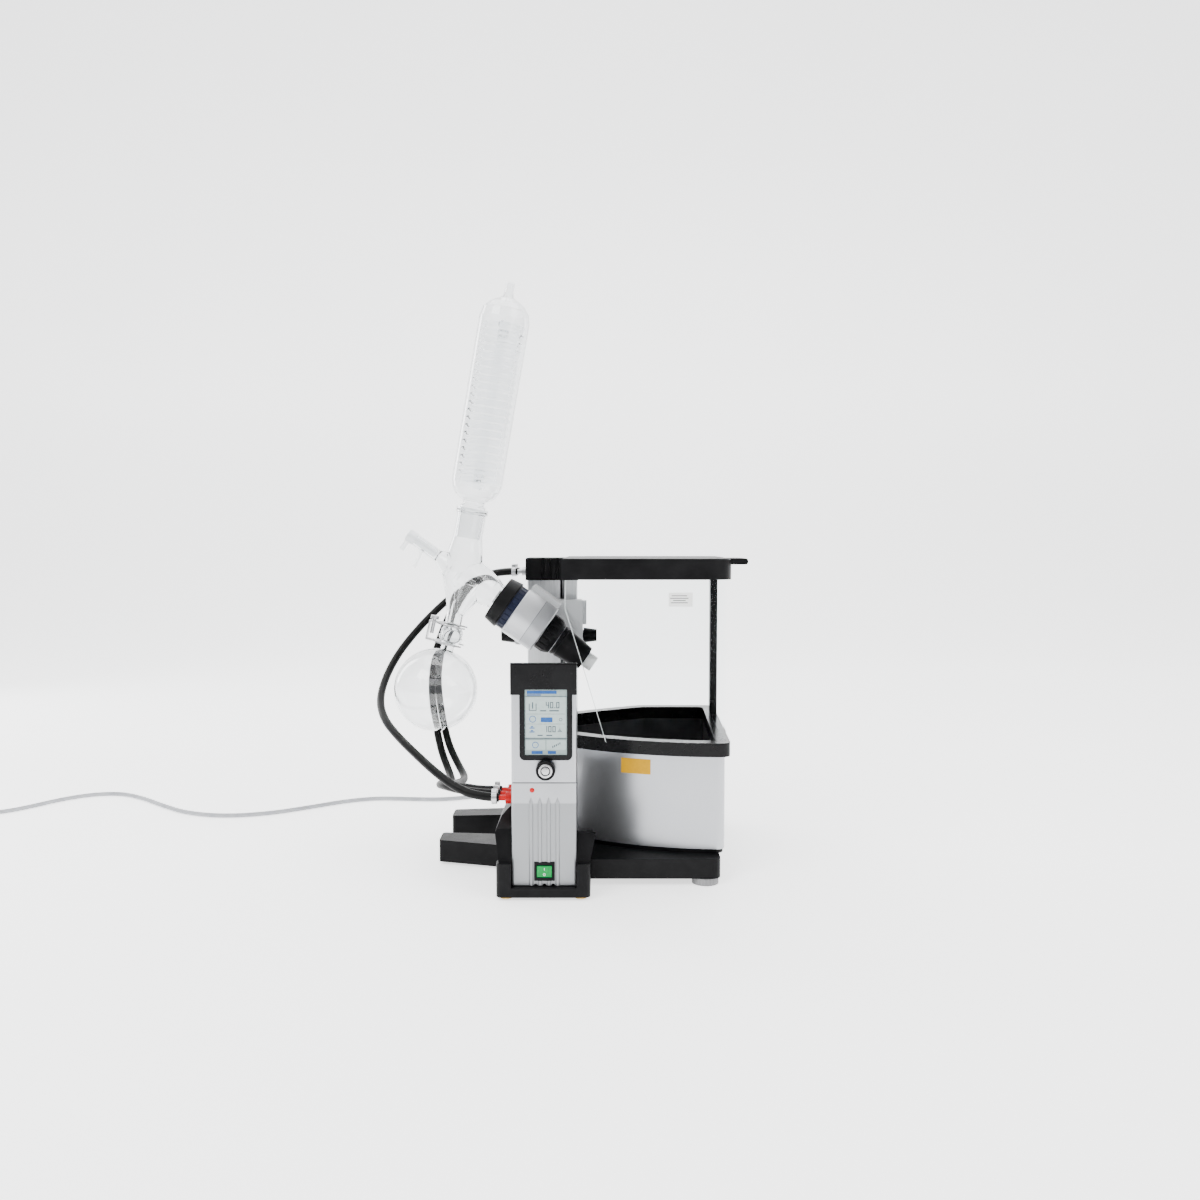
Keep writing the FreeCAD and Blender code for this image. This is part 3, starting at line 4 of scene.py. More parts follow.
import bmesh
import bpy
from mathutils import Matrix, Vector


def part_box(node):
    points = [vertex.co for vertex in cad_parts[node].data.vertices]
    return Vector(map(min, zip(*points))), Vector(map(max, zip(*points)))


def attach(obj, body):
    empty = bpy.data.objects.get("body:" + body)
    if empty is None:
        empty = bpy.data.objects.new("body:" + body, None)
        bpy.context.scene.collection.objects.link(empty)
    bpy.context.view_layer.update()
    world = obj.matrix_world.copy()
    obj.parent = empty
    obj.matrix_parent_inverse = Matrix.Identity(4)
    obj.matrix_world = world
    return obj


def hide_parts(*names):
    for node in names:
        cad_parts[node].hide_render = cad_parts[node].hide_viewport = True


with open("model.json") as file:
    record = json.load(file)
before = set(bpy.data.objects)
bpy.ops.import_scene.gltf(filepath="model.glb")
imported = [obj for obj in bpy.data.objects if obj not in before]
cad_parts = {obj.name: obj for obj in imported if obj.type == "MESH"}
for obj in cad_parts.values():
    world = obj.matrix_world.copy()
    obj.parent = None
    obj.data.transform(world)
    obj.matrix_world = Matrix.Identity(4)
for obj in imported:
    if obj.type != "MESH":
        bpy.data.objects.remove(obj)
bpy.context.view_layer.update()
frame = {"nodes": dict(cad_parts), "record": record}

scene = bpy.context.scene
NODES = frame["nodes"]
MM = 0.001

# ---------------------------------------------------------------- camera, floor and light

camera = bpy.data.objects.new("camera", bpy.data.cameras.new("camera"))
camera.location = (0.057, -1.565, 0.483)
camera.rotation_euler = (math.radians(90 - 3.25), 0, 0)
camera.data.lens = 30.15
camera.data.sensor_width = 36
camera.data.clip_start = 0.05
scene.collection.objects.link(camera)
scene.camera = camera


def new_object(name, data):
    thing = bpy.data.objects.new(name, data)
    scene.collection.objects.link(thing)
    return thing


def area_light(name, place, target, size, power):
    light = bpy.data.lights.new(name, "AREA")
    light.shape = "RECTANGLE"
    light.size, light.size_y = size
    light.energy = power
    lamp = new_object(name, light)
    lamp.location = place
    lamp.rotation_euler = (Vector(target) - Vector(place)).to_track_quat("-Z", "Y").to_euler()


area_light("key", (-1.6, -1.8, 2.6), (0, 0, 0.4), (1.8, 1.4), 85)
area_light("fill", (2.1, -1.5, 1.7), (0, 0, 0.4), (1.4, 1.6), 40)
area_light("top", (0, 0.5, 2.9), (0, 0, 0), (2.6, 2.0), 70)
area_light("edge", (-1.9, 1.3, 1.2), (0, 0, 0.4), (0.5, 1.8), 22)


def studio_world():
    """White room that is darker round the horizon, so that glass and metal show their edges."""
    world = bpy.data.worlds.new("studio")
    world.use_nodes = True
    nodes, links = world.node_tree.nodes, world.node_tree.links
    coordinates = nodes.new("ShaderNodeTexCoord")
    split = nodes.new("ShaderNodeSeparateXYZ")
    ramp = nodes.new("ShaderNodeValToRGB")
    ramp.color_ramp.elements[0].position = 0.02
    ramp.color_ramp.elements[0].color = (0.30, 0.31, 0.33, 1)
    ramp.color_ramp.elements[1].position = 0.55
    ramp.color_ramp.elements[1].color = (1, 1, 1, 1)
    links.new(coordinates.outputs["Generated"], split.inputs["Vector"])
    links.new(split.outputs["Z"], ramp.inputs["Fac"])
    links.new(ramp.outputs["Color"], nodes["Background"].inputs["Color"])
    nodes["Background"].inputs["Strength"].default_value = 1.15
    return world


scene.world = studio_world()


def sweep():
    """Pale floor that curves up into a backdrop behind the bench."""
    bends = [math.pi / 2 * i / 16 for i in range(1, 17)]
    profile = [(-4.0, 0.0), (2.2, 0.0)]
    profile += [(2.2 + 1.2 * math.sin(a), 1.2 - 1.2 * math.cos(a)) for a in bends]
    profile.append((3.4, 6.0))
    mesh = bpy.data.meshes.new("sweep")
    vertices = [(x, y, z) for y, z in profile for x in (-7.0, 7.0)]
    faces = [(2 * i, 2 * i + 1, 2 * i + 3, 2 * i + 2) for i in range(len(profile) - 1)]
    mesh.from_pydata(vertices, [], faces)
    for face in mesh.polygons:
        face.use_smooth = True
    return new_object("sweep", mesh)


floor = sweep()

# ---------------------------------------------------------------- materials


class Recipe:
    """Small helper that builds a Principled material node by node."""

    def __init__(self, name):
        self.material = bpy.data.materials.new(name)
        self.material.use_nodes = True
        self.tree = self.material.node_tree
        self.shader = self.tree.nodes["Principled BSDF"]
        self.coordinates = self.tree.nodes.new("ShaderNodeTexCoord")
        self.normal = None

    def node(self, kind, **inputs):
        made = self.tree.nodes.new(kind)
        for key, value in inputs.items():
            made.inputs[key.replace("_", " ")].default_value = value
        return made

    def link(self, source, target):
        self.tree.links.new(source, target)

    def set(self, **values):
        for key, value in values.items():
            self.shader.inputs[key.replace("_", " ")].default_value = value
        return self

    def stretched(self, stretch):
        mapping = self.node("ShaderNodeMapping", Scale=stretch)
        self.link(self.coordinates.outputs["Object"], mapping.inputs["Vector"])
        return mapping.outputs["Vector"]

    def noise(self, scale, detail=3.0, stretch=(1, 1, 1), roughness=0.55):
        texture = self.node("ShaderNodeTexNoise", Scale=scale, Detail=detail, Roughness=roughness)
        self.link(self.stretched(stretch), texture.inputs["Vector"])
        return texture.outputs["Fac"]

    def ramp(self, factor, low, high, start=0.3, end=0.7):
        ramp = self.tree.nodes.new("ShaderNodeValToRGB")
        ramp.color_ramp.elements[0].position = start
        ramp.color_ramp.elements[1].position = end
        ramp.color_ramp.elements[0].color = (*low, 1)
        ramp.color_ramp.elements[1].color = (*high, 1)
        self.link(factor, ramp.inputs["Fac"])
        return ramp.outputs["Color"]

    def colour(self, factor, low, high, start=0.3, end=0.7):
        self.link(self.ramp(factor, low, high, start, end), self.shader.inputs["Base Color"])
        return self

    def rough(self, factor, low, high):
        spread = self.node("ShaderNodeMapRange", To_Min=low, To_Max=high)
        self.link(factor, spread.inputs["Value"])
        self.link(spread.outputs["Result"], self.shader.inputs["Roughness"])
        return self

    def bump(self, factor, distance):
        bump = self.node("ShaderNodeBump", Distance=distance, Strength=1.0)
        self.link(factor, bump.inputs["Height"])
        if self.normal:
            self.link(self.normal, bump.inputs["Normal"])
        self.normal = bump.outputs["Normal"]
        self.link(self.normal, self.shader.inputs["Normal"])
        return self

    def rounded(self, radius):
        bevel = self.node("ShaderNodeBevel", Radius=radius)
        bevel.samples = 4
        self.normal = bevel.outputs["Normal"]
        self.link(self.normal, self.shader.inputs["Normal"])
        return self


def moulded(name, dark, light, rough=(0.38, 0.55), grain=0.00006, grain_scale=2600, edge=0.0007, sheen=0.5):
    """Moulded plastic with a fine spark-eroded grain and faint handling marks."""
    recipe = Recipe(name).rounded(edge).set(Specular_IOR_Level=sheen)
    recipe.colour(recipe.noise(38, 5), dark, light)
    recipe.rough(recipe.noise(90, 6, roughness=0.7), *rough)
    recipe.bump(recipe.noise(grain_scale, 2), grain)
    return recipe.material


def painted(name, dark, light, metallic=0.55, rough=(0.3, 0.42)):
    """Metallic powder coat: tiny flakes, a slight orange peel and soft colour drift."""
    recipe = Recipe(name).rounded(0.0006).set(Metallic=metallic, Coat_Weight=0.25, Coat_Roughness=0.25)
    flakes = recipe.noise(5200, 1)
    recipe.colour(flakes, dark, light, 0.35, 0.65)
    recipe.rough(recipe.noise(24, 5), *rough)
    recipe.bump(recipe.noise(620, 2), 0.00003)
    return recipe.material


def brushed(name, dark, light, stretch, rough=(0.24, 0.4)):
    """Metal brushed or drawn along one direction."""
    recipe = Recipe(name).rounded(0.0004).set(Metallic=1.0)
    streaks = recipe.noise(900, 4, stretch)
    recipe.colour(streaks, dark, light)
    recipe.rough(streaks, *rough)
    recipe.bump(streaks, 0.00002)
    return recipe.material


def clear(name, tint, ior, wave, density=0.0):
    """Clear glass or acrylic with a faint drawn waviness, greyer where the light crosses more of it."""
    recipe = Recipe(name).set(
        Base_Color=(*tint, 1), Transmission_Weight=1.0, IOR=ior, Roughness=0.015, Coat_Weight=0.0
    )
    recipe.bump(recipe.noise(45, 2), wave)
    if density:
        depth = recipe.node("ShaderNodeVolumeAbsorption", Color=(0.36, 0.40, 0.42, 1), Density=density)
        recipe.link(depth.outputs["Volume"], recipe.tree.nodes["Material Output"].inputs["Volume"])
    return recipe.material


def rubbery(name, dark, light, rough=(0.42, 0.6), sheen=0.4):
    """Soft rubber or PVC with a fine matt skin."""
    recipe = Recipe(name).set(Specular_IOR_Level=sheen)
    recipe.colour(recipe.noise(60, 5), dark, light)
    recipe.rough(recipe.noise(180, 5), *rough)
    recipe.bump(recipe.noise(1400, 3), 0.00005)
    return recipe.material


def split_tone(name, axis, places, tones):
    """Metallic coat whose brightness steps at places along a direction of the model."""
    recipe = Recipe(name).rounded(0.0006).set(Metallic=0.55, Coat_Weight=0.25, Coat_Roughness=0.25)
    along = recipe.tree.nodes.new("ShaderNodeVectorMath")
    along.operation = "DOT_PRODUCT"
    along.inputs[1].default_value = axis
    recipe.link(recipe.coordinates.outputs["Object"], along.inputs[0])
    spread = recipe.node("ShaderNodeMapRange", From_Min=places[0], From_Max=places[1])
    recipe.link(along.outputs["Value"], spread.inputs["Value"])
    step = recipe.ramp(spread.outputs["Result"], tones[0], tones[1], 0.49, 0.51)
    flakes = recipe.ramp(recipe.noise(5200, 1), (0.86, 0.86, 0.86), (1, 1, 1), 0.35, 0.65)
    mixed = recipe.tree.nodes.new("ShaderNodeMix")
    mixed.data_type = "RGBA"
    mixed.blend_type = "MULTIPLY"
    mixed.inputs["Factor"].default_value = 1.0
    recipe.link(step, mixed.inputs["A"])
    recipe.link(flakes, mixed.inputs["B"])
    recipe.link(mixed.outputs["Result"], recipe.shader.inputs["Base Color"])
    recipe.rough(recipe.noise(24, 5), 0.3, 0.42)
    recipe.bump(recipe.noise(620, 2), 0.00003)
    return recipe.material


BLACK = moulded("black_plastic", (0.003, 0.003, 0.0034), (0.007, 0.007, 0.0075), (0.30, 0.46), sheen=0.08)
GLOSS_BLACK = moulded(
    "gloss_black", (0.002, 0.002, 0.0024), (0.005, 0.005, 0.0055), (0.14, 0.26), 0.00002, sheen=0.12
)
COLLAR = moulded(
    "collar_black", (0.006, 0.008, 0.020), (0.010, 0.014, 0.034), (0.3, 0.42), 0.00003, sheen=0.12
)
SILVER = painted("silver_paint", (0.34, 0.35, 0.37), (0.48, 0.49, 0.51), 0.85, (0.26, 0.36))
LIGHT_GREY = painted("light_grey", (0.47, 0.48, 0.49), (0.58, 0.59, 0.60), 0.2, (0.4, 0.5))
COLUMN = brushed("column_metal", (0.60, 0.61, 0.62), (0.76, 0.77, 0.78), (1, 1, 0.02), (0.3, 0.45))
STEEL = brushed("steel", (0.42, 0.42, 0.43), (0.62, 0.62, 0.63), (1, 0.04, 1))
BRASS = brushed("brass", (0.52, 0.34, 0.10), (0.72, 0.50, 0.18), (1, 1, 0.05))
RUBBER = rubbery("rubber", (0.010, 0.010, 0.010), (0.022, 0.022, 0.022))
HOSE = rubbery("hose_rubber", (0.003, 0.003, 0.003), (0.007, 0.007, 0.007), (0.3, 0.48), 0.1)
LEAD = rubbery("lead_grey", (0.30, 0.31, 0.33), (0.40, 0.41, 0.43))
RED = moulded("red_plastic", (0.42, 0.006, 0.008), (0.56, 0.01, 0.012), (0.24, 0.36), 0.00002, sheen=0.15)
FOOT = moulded("foot_grey", (0.16, 0.16, 0.165), (0.26, 0.26, 0.265), (0.5, 0.65), 0.00012, 1600)
# The bath pan is coloured near black all over.
PAN = moulded(
    "near_black_pan", (0.014, 0.014, 0.015), (0.028, 0.028, 0.030), (0.22, 0.38), 0.00005, 900, sheen=0.35
)
# The coil and the panes bend light far less than real glass and acrylic, whose index is near 1.5.
# At 1.10 and above the coil shows dark rungs. At 1.03 and above the post behind the side pane fades.
GLASS = clear("glass", (0.985, 0.99, 0.992), 1.49, 0.00004, 42.0)
COIL_GLASS = clear("coil_glass", (0.94, 0.952, 0.96), 1.06, 0.00003)
PANE = clear("clear_pane", (0.965, 0.978, 0.98), 1.001, 0.00001)


def frosted(name, tint, light):
    """Milky translucent wall, as of a fluoropolymer."""
    recipe = Recipe(name).set(Transmission_Weight=0.55, IOR=1.38)
    recipe.colour(recipe.noise(70, 4), tint, light)
    recipe.rough(recipe.noise(400, 4), 0.32, 0.5)
    recipe.bump(recipe.noise(2600, 2), 0.00003)
    return recipe.material


MILKY = frosted("milky_tube", (0.80, 0.81, 0.80), (0.92, 0.93, 0.92))


def lit(name, colour, strength, dark, light):
    """A colour that glows: the screen and the lit plastic give real light, while the glow on the yellow
    label and the pane edge is painted light.
    """
    recipe = Recipe(name).set(Emission_Color=(*colour, 1), Emission_Strength=strength)
    recipe.set(Roughness=0.35, Specular_IOR_Level=0.1)
    recipe.colour(recipe.noise(300, 3), dark, light)
    return recipe.material


SCREEN = lit("screen", (0.40, 0.50, 0.49), 0.14, (0.21, 0.27, 0.265), (0.26, 0.32, 0.31))
SCREEN_BLUE = lit("screen_blue", (0.03, 0.13, 0.42), 0.25, (0.02, 0.06, 0.20), (0.03, 0.09, 0.26))
SCREEN_INK = lit("screen_ink", (0.04, 0.07, 0.09), 0.1, (0.05, 0.07, 0.09), (0.08, 0.10, 0.12))
SCREEN_PALE = lit("screen_pale", (0.50, 0.60, 0.59), 0.16, (0.32, 0.39, 0.38), (0.37, 0.44, 0.43))
GREEN = lit("green_plastic", (0.0, 0.50, 0.10), 0.16, (0.0, 0.17, 0.035), (0.0, 0.25, 0.055))
# Painted highlight: this colour glows to stand for the light caught by the cut edge of the front pane.
PANE_EDGE_HIGHLIGHT = lit("painted_pane_edge_highlight", (0.8, 0.85, 0.85), 0.10, (0.48, 0.52, 0.52), (0.58, 0.62, 0.62))
# Painted glow: the yellow label is no lamp, yet this colour gives it a faint light of its own to brighten
# it.
GLOWING_YELLOW = lit("painted_glow_label_yellow", (1.0, 0.52, 0.0), 0.03, (0.54, 0.27, 0.0), (0.62, 0.32, 0.0))
INK = moulded("label_ink", (0.015, 0.015, 0.015), (0.03, 0.03, 0.03), (0.4, 0.5), 0.00001)
PAPER = moulded("label_paper", (0.78, 0.78, 0.76), (0.86, 0.86, 0.85), (0.45, 0.55), 0.00001)

FLOOR = Recipe("floor").set(Roughness=0.6, Emission_Color=(1, 1, 1, 1), Emission_Strength=1.5)
FLOOR.colour(FLOOR.noise(2.0, 3), (0.88, 0.885, 0.89), (0.91, 0.912, 0.915))
floor.data.materials.append(FLOOR.material)

BY_SLOT = {
    "black_plastic": BLACK,
    "silver_paint": SILVER,
    "light_grey": LIGHT_GREY,
    "column_metal": COLUMN,
    "steel": STEEL,
    "brass": BRASS,
    "rubber": RUBBER,
    "lead_grey": LEAD,
    "red_plastic": RED,
    "green_plastic": GREEN,
    "screen": SCREEN,
    "glass": GLASS,
    "clear_pane": PANE,
    "foot_grey": FOOT,
}
for subpart in frame["record"]["subparts"]:
    node = NODES[subpart["node"]]
    for holder in node.material_slots:
        holder.material = BY_SLOT[subpart["material_slot"]]


def box(node):
    """A CAD node's lowest and highest corner."""
    return [Vector(corner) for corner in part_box(node)]


def joint_frame(name):
    """A frame on a joint's axis: its Z runs along the axis and its Y towards the back."""
    joint = next(j for j in frame["record"]["behaviour"]["joints"] if j["name"] == name)
    way = Vector(joint["axis"]).normalized()
    back = Vector((0, 1, 0))
    across = back.cross(way)
    return Matrix.Translation(joint["pos_m"]) @ Matrix((across, back, way)).transposed().to_4x4()


DRIVE = joint_frame("shaft_spin")
DRIVE_WAY = DRIVE.to_3x3() @ Vector((0, 0, 1))
PIVOT_REACH = DRIVE.translation.dot(DRIVE_WAY)
panel_low, panel_high = box("tower_panel")
RIB_END = panel_high.z - 0.0275
BARREL_SEAM = 0.0005
TOWER_SILVER = split_tone(
    "tower_silver", (0, 0, 1), (RIB_END - 0.05, RIB_END + 0.05), ((0.28, 0.29, 0.30), (0.44, 0.45, 0.47))
)
BARREL_SILVER = split_tone(
    "barrel_silver",
    tuple(DRIVE_WAY),
    (PIVOT_REACH + BARREL_SEAM - 0.05, PIVOT_REACH + BARREL_SEAM + 0.05),
    ((0.56, 0.57, 0.59), (0.40, 0.41, 0.43)),
)
SPECIAL = {
    "bath_rim": GLOSS_BLACK,
    "display_bezel": GLOSS_BLACK,
    "bath_pan": PAN,
    "tower_panel": TOWER_SILVER,
    "drive_barrel": BARREL_SILVER,
    "flange_collar": COLLAR,
    "vapour_tube": MILKY,
}
for name, material in SPECIAL.items():
    for holder in NODES[name].material_slots:
        holder.material = material

# ---------------------------------------------------------------- cords


def metres(points):
    return [tuple(value * MM for value in point) for point in points]


def cord_curve(name, points, radius, material):
    """A smooth round cord with the points as its spline's control points."""
    curve = bpy.data.curves.new(name, "CURVE")
    curve.dimensions = "3D"
    curve.bevel_depth = radius
    curve.bevel_resolution = 6
    curve.resolution_u = 14
    curve.use_fill_caps = True
    spline = curve.splines.new("NURBS")
    spline.points.add(len(points) - 1)
    for place, point in zip(spline.points, points):
        place.co = (*point, 1)
    spline.order_u = 3
    spline.use_endpoint_u = True
    curve.materials.append(material)
    return new_object(name, curve)


HOSE_ROUTES = {
    "hose_front": [
        (-84, 155, 434), (-118, 155, 434), (-157, 157, 420), (-194, 159, 395), (-229, 153, 363),
        (-260, 134, 328), (-282, 103, 295), (-294, 64, 261), (-293, 18, 233), (-276, -28, 211),
        (-246, -70, 192), (-212, -110, 174), (-180, -144, 157), (-148, -169, 141), (-116, -180, 130),
        (-84, -180, 128),
    ],
    "hose_middle": [
        (-84, 177, 434), (-118, 177, 434), (-155, 180, 422), (-184, 183, 396), (-204, 183, 362),
        (-219, 175, 325), (-229, 162, 288), (-231, 143, 250), (-226, 120, 214), (-216, 98, 176),
        (-206, 84, 138), (-188, 56, 108), (-177, 14, 101), (-179, -26, 108), (-183, -62, 118),
        (-180, -98, 127), (-168, -127, 132), (-146, -148, 132), (-116, -158, 129), (-84, -158, 128),
    ],
    "hose_rear": [
        (-84, 199, 434), (-118, 199, 434), (-151, 202, 423), (-177, 204, 399), (-197, 201, 366),
        (-211, 190, 329), (-220, 176, 292), (-222, 156, 254), (-216, 133, 219), (-206, 111, 181),
        (-195, 95, 146), (-176, 72, 118), (-160, 36, 106), (-160, -2, 108), (-164, -38, 114),
        (-164, -85, 123), (-154, -108, 127), (-136, -126, 129), (-113, -136, 128), (-84, -136, 128),
    ],
}
for name, route in HOSE_ROUTES.items():
    hose = cord_curve("black_" + name, metres(route), 0.006, HOSE)
    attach(hose, "base")
    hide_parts(name)

LEAD_ROUTE = [
    (-20, 266, 28), (-28, 303, 25), (-52, 334, 14), (-90, 346, 4.5), (-134, 336, 3.75),
    (-182, 312, 3.75), (-240, 290, 3.75), (-306, 296, 3.75), (-366, 301, 3.75), (-420, 277, 3.75),
    (-468, 238, 3.75), (-530, 194, 3.75), (-602, 176, 3.75), (-676, 196, 3.75), (-740, 246, 3.75),
    (-800, 300, 3.75), (-858, 337, 3.75), (-912, 330, 3.75), (-952, 292, 3.75), (-978, 244, 3.75),
    (-1006, 206, 3.75), (-1042, 196, 3.75),
]
COIL_MIDDLE = (-1074, 153)
# each lay of the coil: radius of the turn and height, outside first, then inside, then on top
COIL_LAYS = [(47.0, 3.75), (39.5, 3.75), (43.2, 10.2)]
POINTS_PER_TURN = 16


def coil_points():
    """Three turns that start where the lead arrives and end beside the plug."""
    points = []
    for lay, (radius, height) in enumerate(COIL_LAYS):
        for step in range(POINTS_PER_TURN):
            share = step / POINTS_PER_TURN
            angle = math.radians(78 + 360 * share)
            ahead, rise = COIL_LAYS[min(lay + 1, 2)]
            mix = max(0.0, (share - 0.8) / 0.2)
            reach = radius + (ahead - radius) * mix
            points.append(
                (
                    COIL_MIDDLE[0] + reach * math.cos(angle),
                    COIL_MIDDLE[1] + reach * math.sin(angle),
                    height + (rise - height) * mix,
                )
            )
    return points


COIL_EXIT = [(-1066, 196.8, 10.6), (-1080, 203, 13), (-1096, 212, 15), (-1104, 214, 15)]
lead = cord_curve("grey_lead", metres(LEAD_ROUTE + coil_points() + COIL_EXIT), 0.00375, LEAD)
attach(lead, "base")
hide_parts("mains_lead", "lead_coil")

# ---------------------------------------------------------------- mesh shapes


def skin(mesh, rings, place, closed=False):
    """Faces over a stack of equal rings of points, capped at both ends or closed into a torus."""
    stack = [[mesh.verts.new(place @ Vector(point)) for point in ring] for ring in rings]
    pairs = list(zip(stack, stack[1:]))
    if closed:
        pairs.append((stack[-1], stack[0]))
    for low, high in pairs:
        for i in range(len(low)):
            mesh.faces.new((low[i - 1], low[i], high[i], high[i - 1]))
    if not closed:
        mesh.faces.new(stack[0][::-1])
        mesh.faces.new(stack[-1])


def rounded_outline(width, height, radius, steps=5):
    """A rectangle round the origin with round corners."""
    points = []
    for quarter, (side, up) in enumerate(((1, 1), (-1, 1), (-1, -1), (1, -1))):
        middle = side * (width / 2 - radius), up * (height / 2 - radius)
        for step in range(steps + 1):
            angle = math.pi / 2 * (quarter + step / steps)
            points.append((middle[0] + radius * math.cos(angle), middle[1] + radius * math.sin(angle)))
    return points


def slab(mesh, outline, depth, place, edge=0.00005):
    """A plate that stands on the frame's XY plane, with a small chamfer round its front."""
    wide = max(abs(x) for x, _ in outline)
    tall = max(abs(y) for _, y in outline)
    front = [(x * (1 - edge / wide), y * (1 - edge / tall), depth) for x, y in outline]
    skin(mesh, [[(x, y, 0) for x, y in outline], [(x, y, depth - edge) for x, y in outline], front], place)


def lathe(mesh, profile, place, steps=48, closed=False):
    """A turned shape about the frame's Z from (radius, height) points."""
    turns = [math.tau * i / steps for i in range(steps)]
    rings = [[(r * math.cos(a), r * math.sin(a), z) for a in turns] for r, z in profile]
    skin(mesh, rings, place, closed)


def front_facing(across, deep, height):
    """A frame on a front face: X to the right, Y up and Z towards the operator."""
    turn = Matrix(((1, 0, 0), (0, 0, -1), (0, 1, 0))).to_4x4()
    return Matrix.Translation((across, deep, height)) @ turn


def piece(name, mesh, body, material, replaced=()):
    """Turns a finished bmesh into a named piece that rides on a body."""
    bmesh.ops.recalc_face_normals(mesh, faces=mesh.faces)
    data = bpy.data.meshes.new(name)
    mesh.to_mesh(data)
    mesh.free()
    for face in data.polygons:
        face.use_smooth = True
    data.set_sharp_from_angle(angle=math.radians(32))
    data.materials.append(material)
    made = new_object(name, data)
    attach(made, body)
    if replaced:
        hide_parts(*replaced)
    return made


def at(across, height, place):
    return place @ Matrix.Translation((across, height, 0))


# ---------------------------------------------------------------- display

glass_low, _ = box("display_glass")
DISPLAY = front_facing(glass_low.x, glass_low.y, glass_low.z)
# the pale fields lie under the coloured and dark marks
FIELD_THICK = 0.00022
PRINT_THICK = 0.00034
# the lit segments of the numerals in use
SEGMENTS = {"0": "abcdef", "1": "bc", "4": "fgbc"}


def bar(mesh, left, low, right, high, radius=0.3, thick=PRINT_THICK):
    """A printed bar on the display between two corners in millimetres."""
    outline = rounded_outline((right - left) * MM, (high - low) * MM, radius * MM, 3)
    slab(mesh, outline, thick, at((left + right) / 2 * MM, (low + high) / 2 * MM, DISPLAY))


def digits(mesh, text, left, low, tall):
    """Seven-segment numerals."""
    wide, thick = tall * 0.5, tall * 0.13
    places = {
        "a": (0, tall - thick, wide, tall),
        "b": (wide - thick, tall / 2, wide, tall),
        "c": (wide - thick, 0, wide, tall / 2),
        "d": (0, 0, wide, thick),
        "e": (0, 0, thick, tall / 2),
        "f": (0, tall / 2, thick, tall),
        "g": (0, tall / 2 - thick / 2, wide, tall / 2 + thick / 2),
    }
    for letter in text:
        if letter == ".":
            bar(mesh, left, low, left + thick * 1.2, low + thick * 1.2, 0.1)
            left += thick * 2.4
            continue
        for segment in SEGMENTS[letter]:
            x0, y0, x1, y1 = places[segment]
            bar(mesh, left + x0, low + y0, left + x1, low + y1, 0.1)
        left += wide * 1.35


def hoop(mesh, across, height, radius, width=0.9):
    """A printed ring on the display."""
    inner, outer = (radius - width) * MM, radius * MM
    profile = [(inner, 0), (outer, 0), (outer, PRINT_THICK), (inner, PRINT_THICK)]
    lathe(mesh, profile, at(across * MM, height * MM, DISPLAY), 28, closed=True)


pale = bmesh.new()
for corners in ((1.2, 24.0, 55.6, 78.5), (1.2, 7.0, 27.6, 20.2), (29.2, 7.0, 55.6, 20.2)):
    bar(pale, *corners, 1.2, FIELD_THICK)
piece("screen_fields", pale, "handset", SCREEN_PALE)

blue = bmesh.new()
bar(blue, 3, 83.2, 43, 87.4)
bar(blue, 3, 80.9, 22, 82.2)
bar(blue, 9, 1.4, 24, 5.4)
bar(blue, 31, 1.4, 42, 5.4)
bar(blue, 21.6, 44.6, 37.4, 51.2, 0.8)
hoop(blue, 10.6, 48.8, 4.6)
for low in (30.7, 36.0):
    bar(blue, 6.2, low, 13.2, low + 1.3)
    bar(blue, 8.0, low + 1.8, 11.4, low + 3.1)
hoop(blue, 14.2, 13.6, 4.4)
piece("screen_blue_marks", blue, "handset", SCREEN_BLUE)

ink = bmesh.new()
digits(ink, "40.0", 28.5, 63.6, 8.4)
digits(ink, "100", 26.0, 31.0, 8.4)
bar(ink, 0.4, 79.3, 56.4, 80.0)
bar(ink, 0.4, 21.6, 56.4, 22.6)
bar(ink, 2.4, 55.6, 54.4, 55.9)
bar(ink, 2.4, 42.0, 54.4, 42.3)
bar(ink, 5.6, 60.6, 6.6, 70.0)
bar(ink, 14.8, 60.6, 15.8, 70.0)
bar(ink, 5.6, 60.2, 15.8, 61.2)
bar(ink, 9.8, 63.0, 11.4, 71.8)
hoop(ink, 48.4, 48.2, 2.2, 0.7)
for left, right, low in ((20.6, 29.0, 59.4), (33.0, 46.0, 59.4), (17.0, 24.0, 25.9), (29.0, 37.0, 25.9)):
    bar(ink, left, low, right, low + 1.5)
for step in range(4):
    bar(ink, 44.2 + step * 0.9, 31.4 + step * 1.7, 50.0 - step * 0.9, 32.3 + step * 1.7, 0.2)
for step in range(5):
    bar(ink, 37.0 + step * 2.4, 9.6 + step * 1.2, 38.4 + step * 2.4, 12.4 + step * 1.2, 0.2)
piece("screen_dark_marks", ink, "handset", SCREEN_INK)

# ---------------------------------------------------------------- knob and switch

knob_low, knob_high = box("control_knob")
KNOB_RADIUS = (knob_high.x - knob_low.x) / 2
KNOB = front_facing(knob_low.x + KNOB_RADIUS, knob_low.y, (knob_low.z + knob_high.z) / 2)
KNOB_DEEP = 0.015
KNOB_DISH = -0.0012
KNOB_RIB = 0.00022


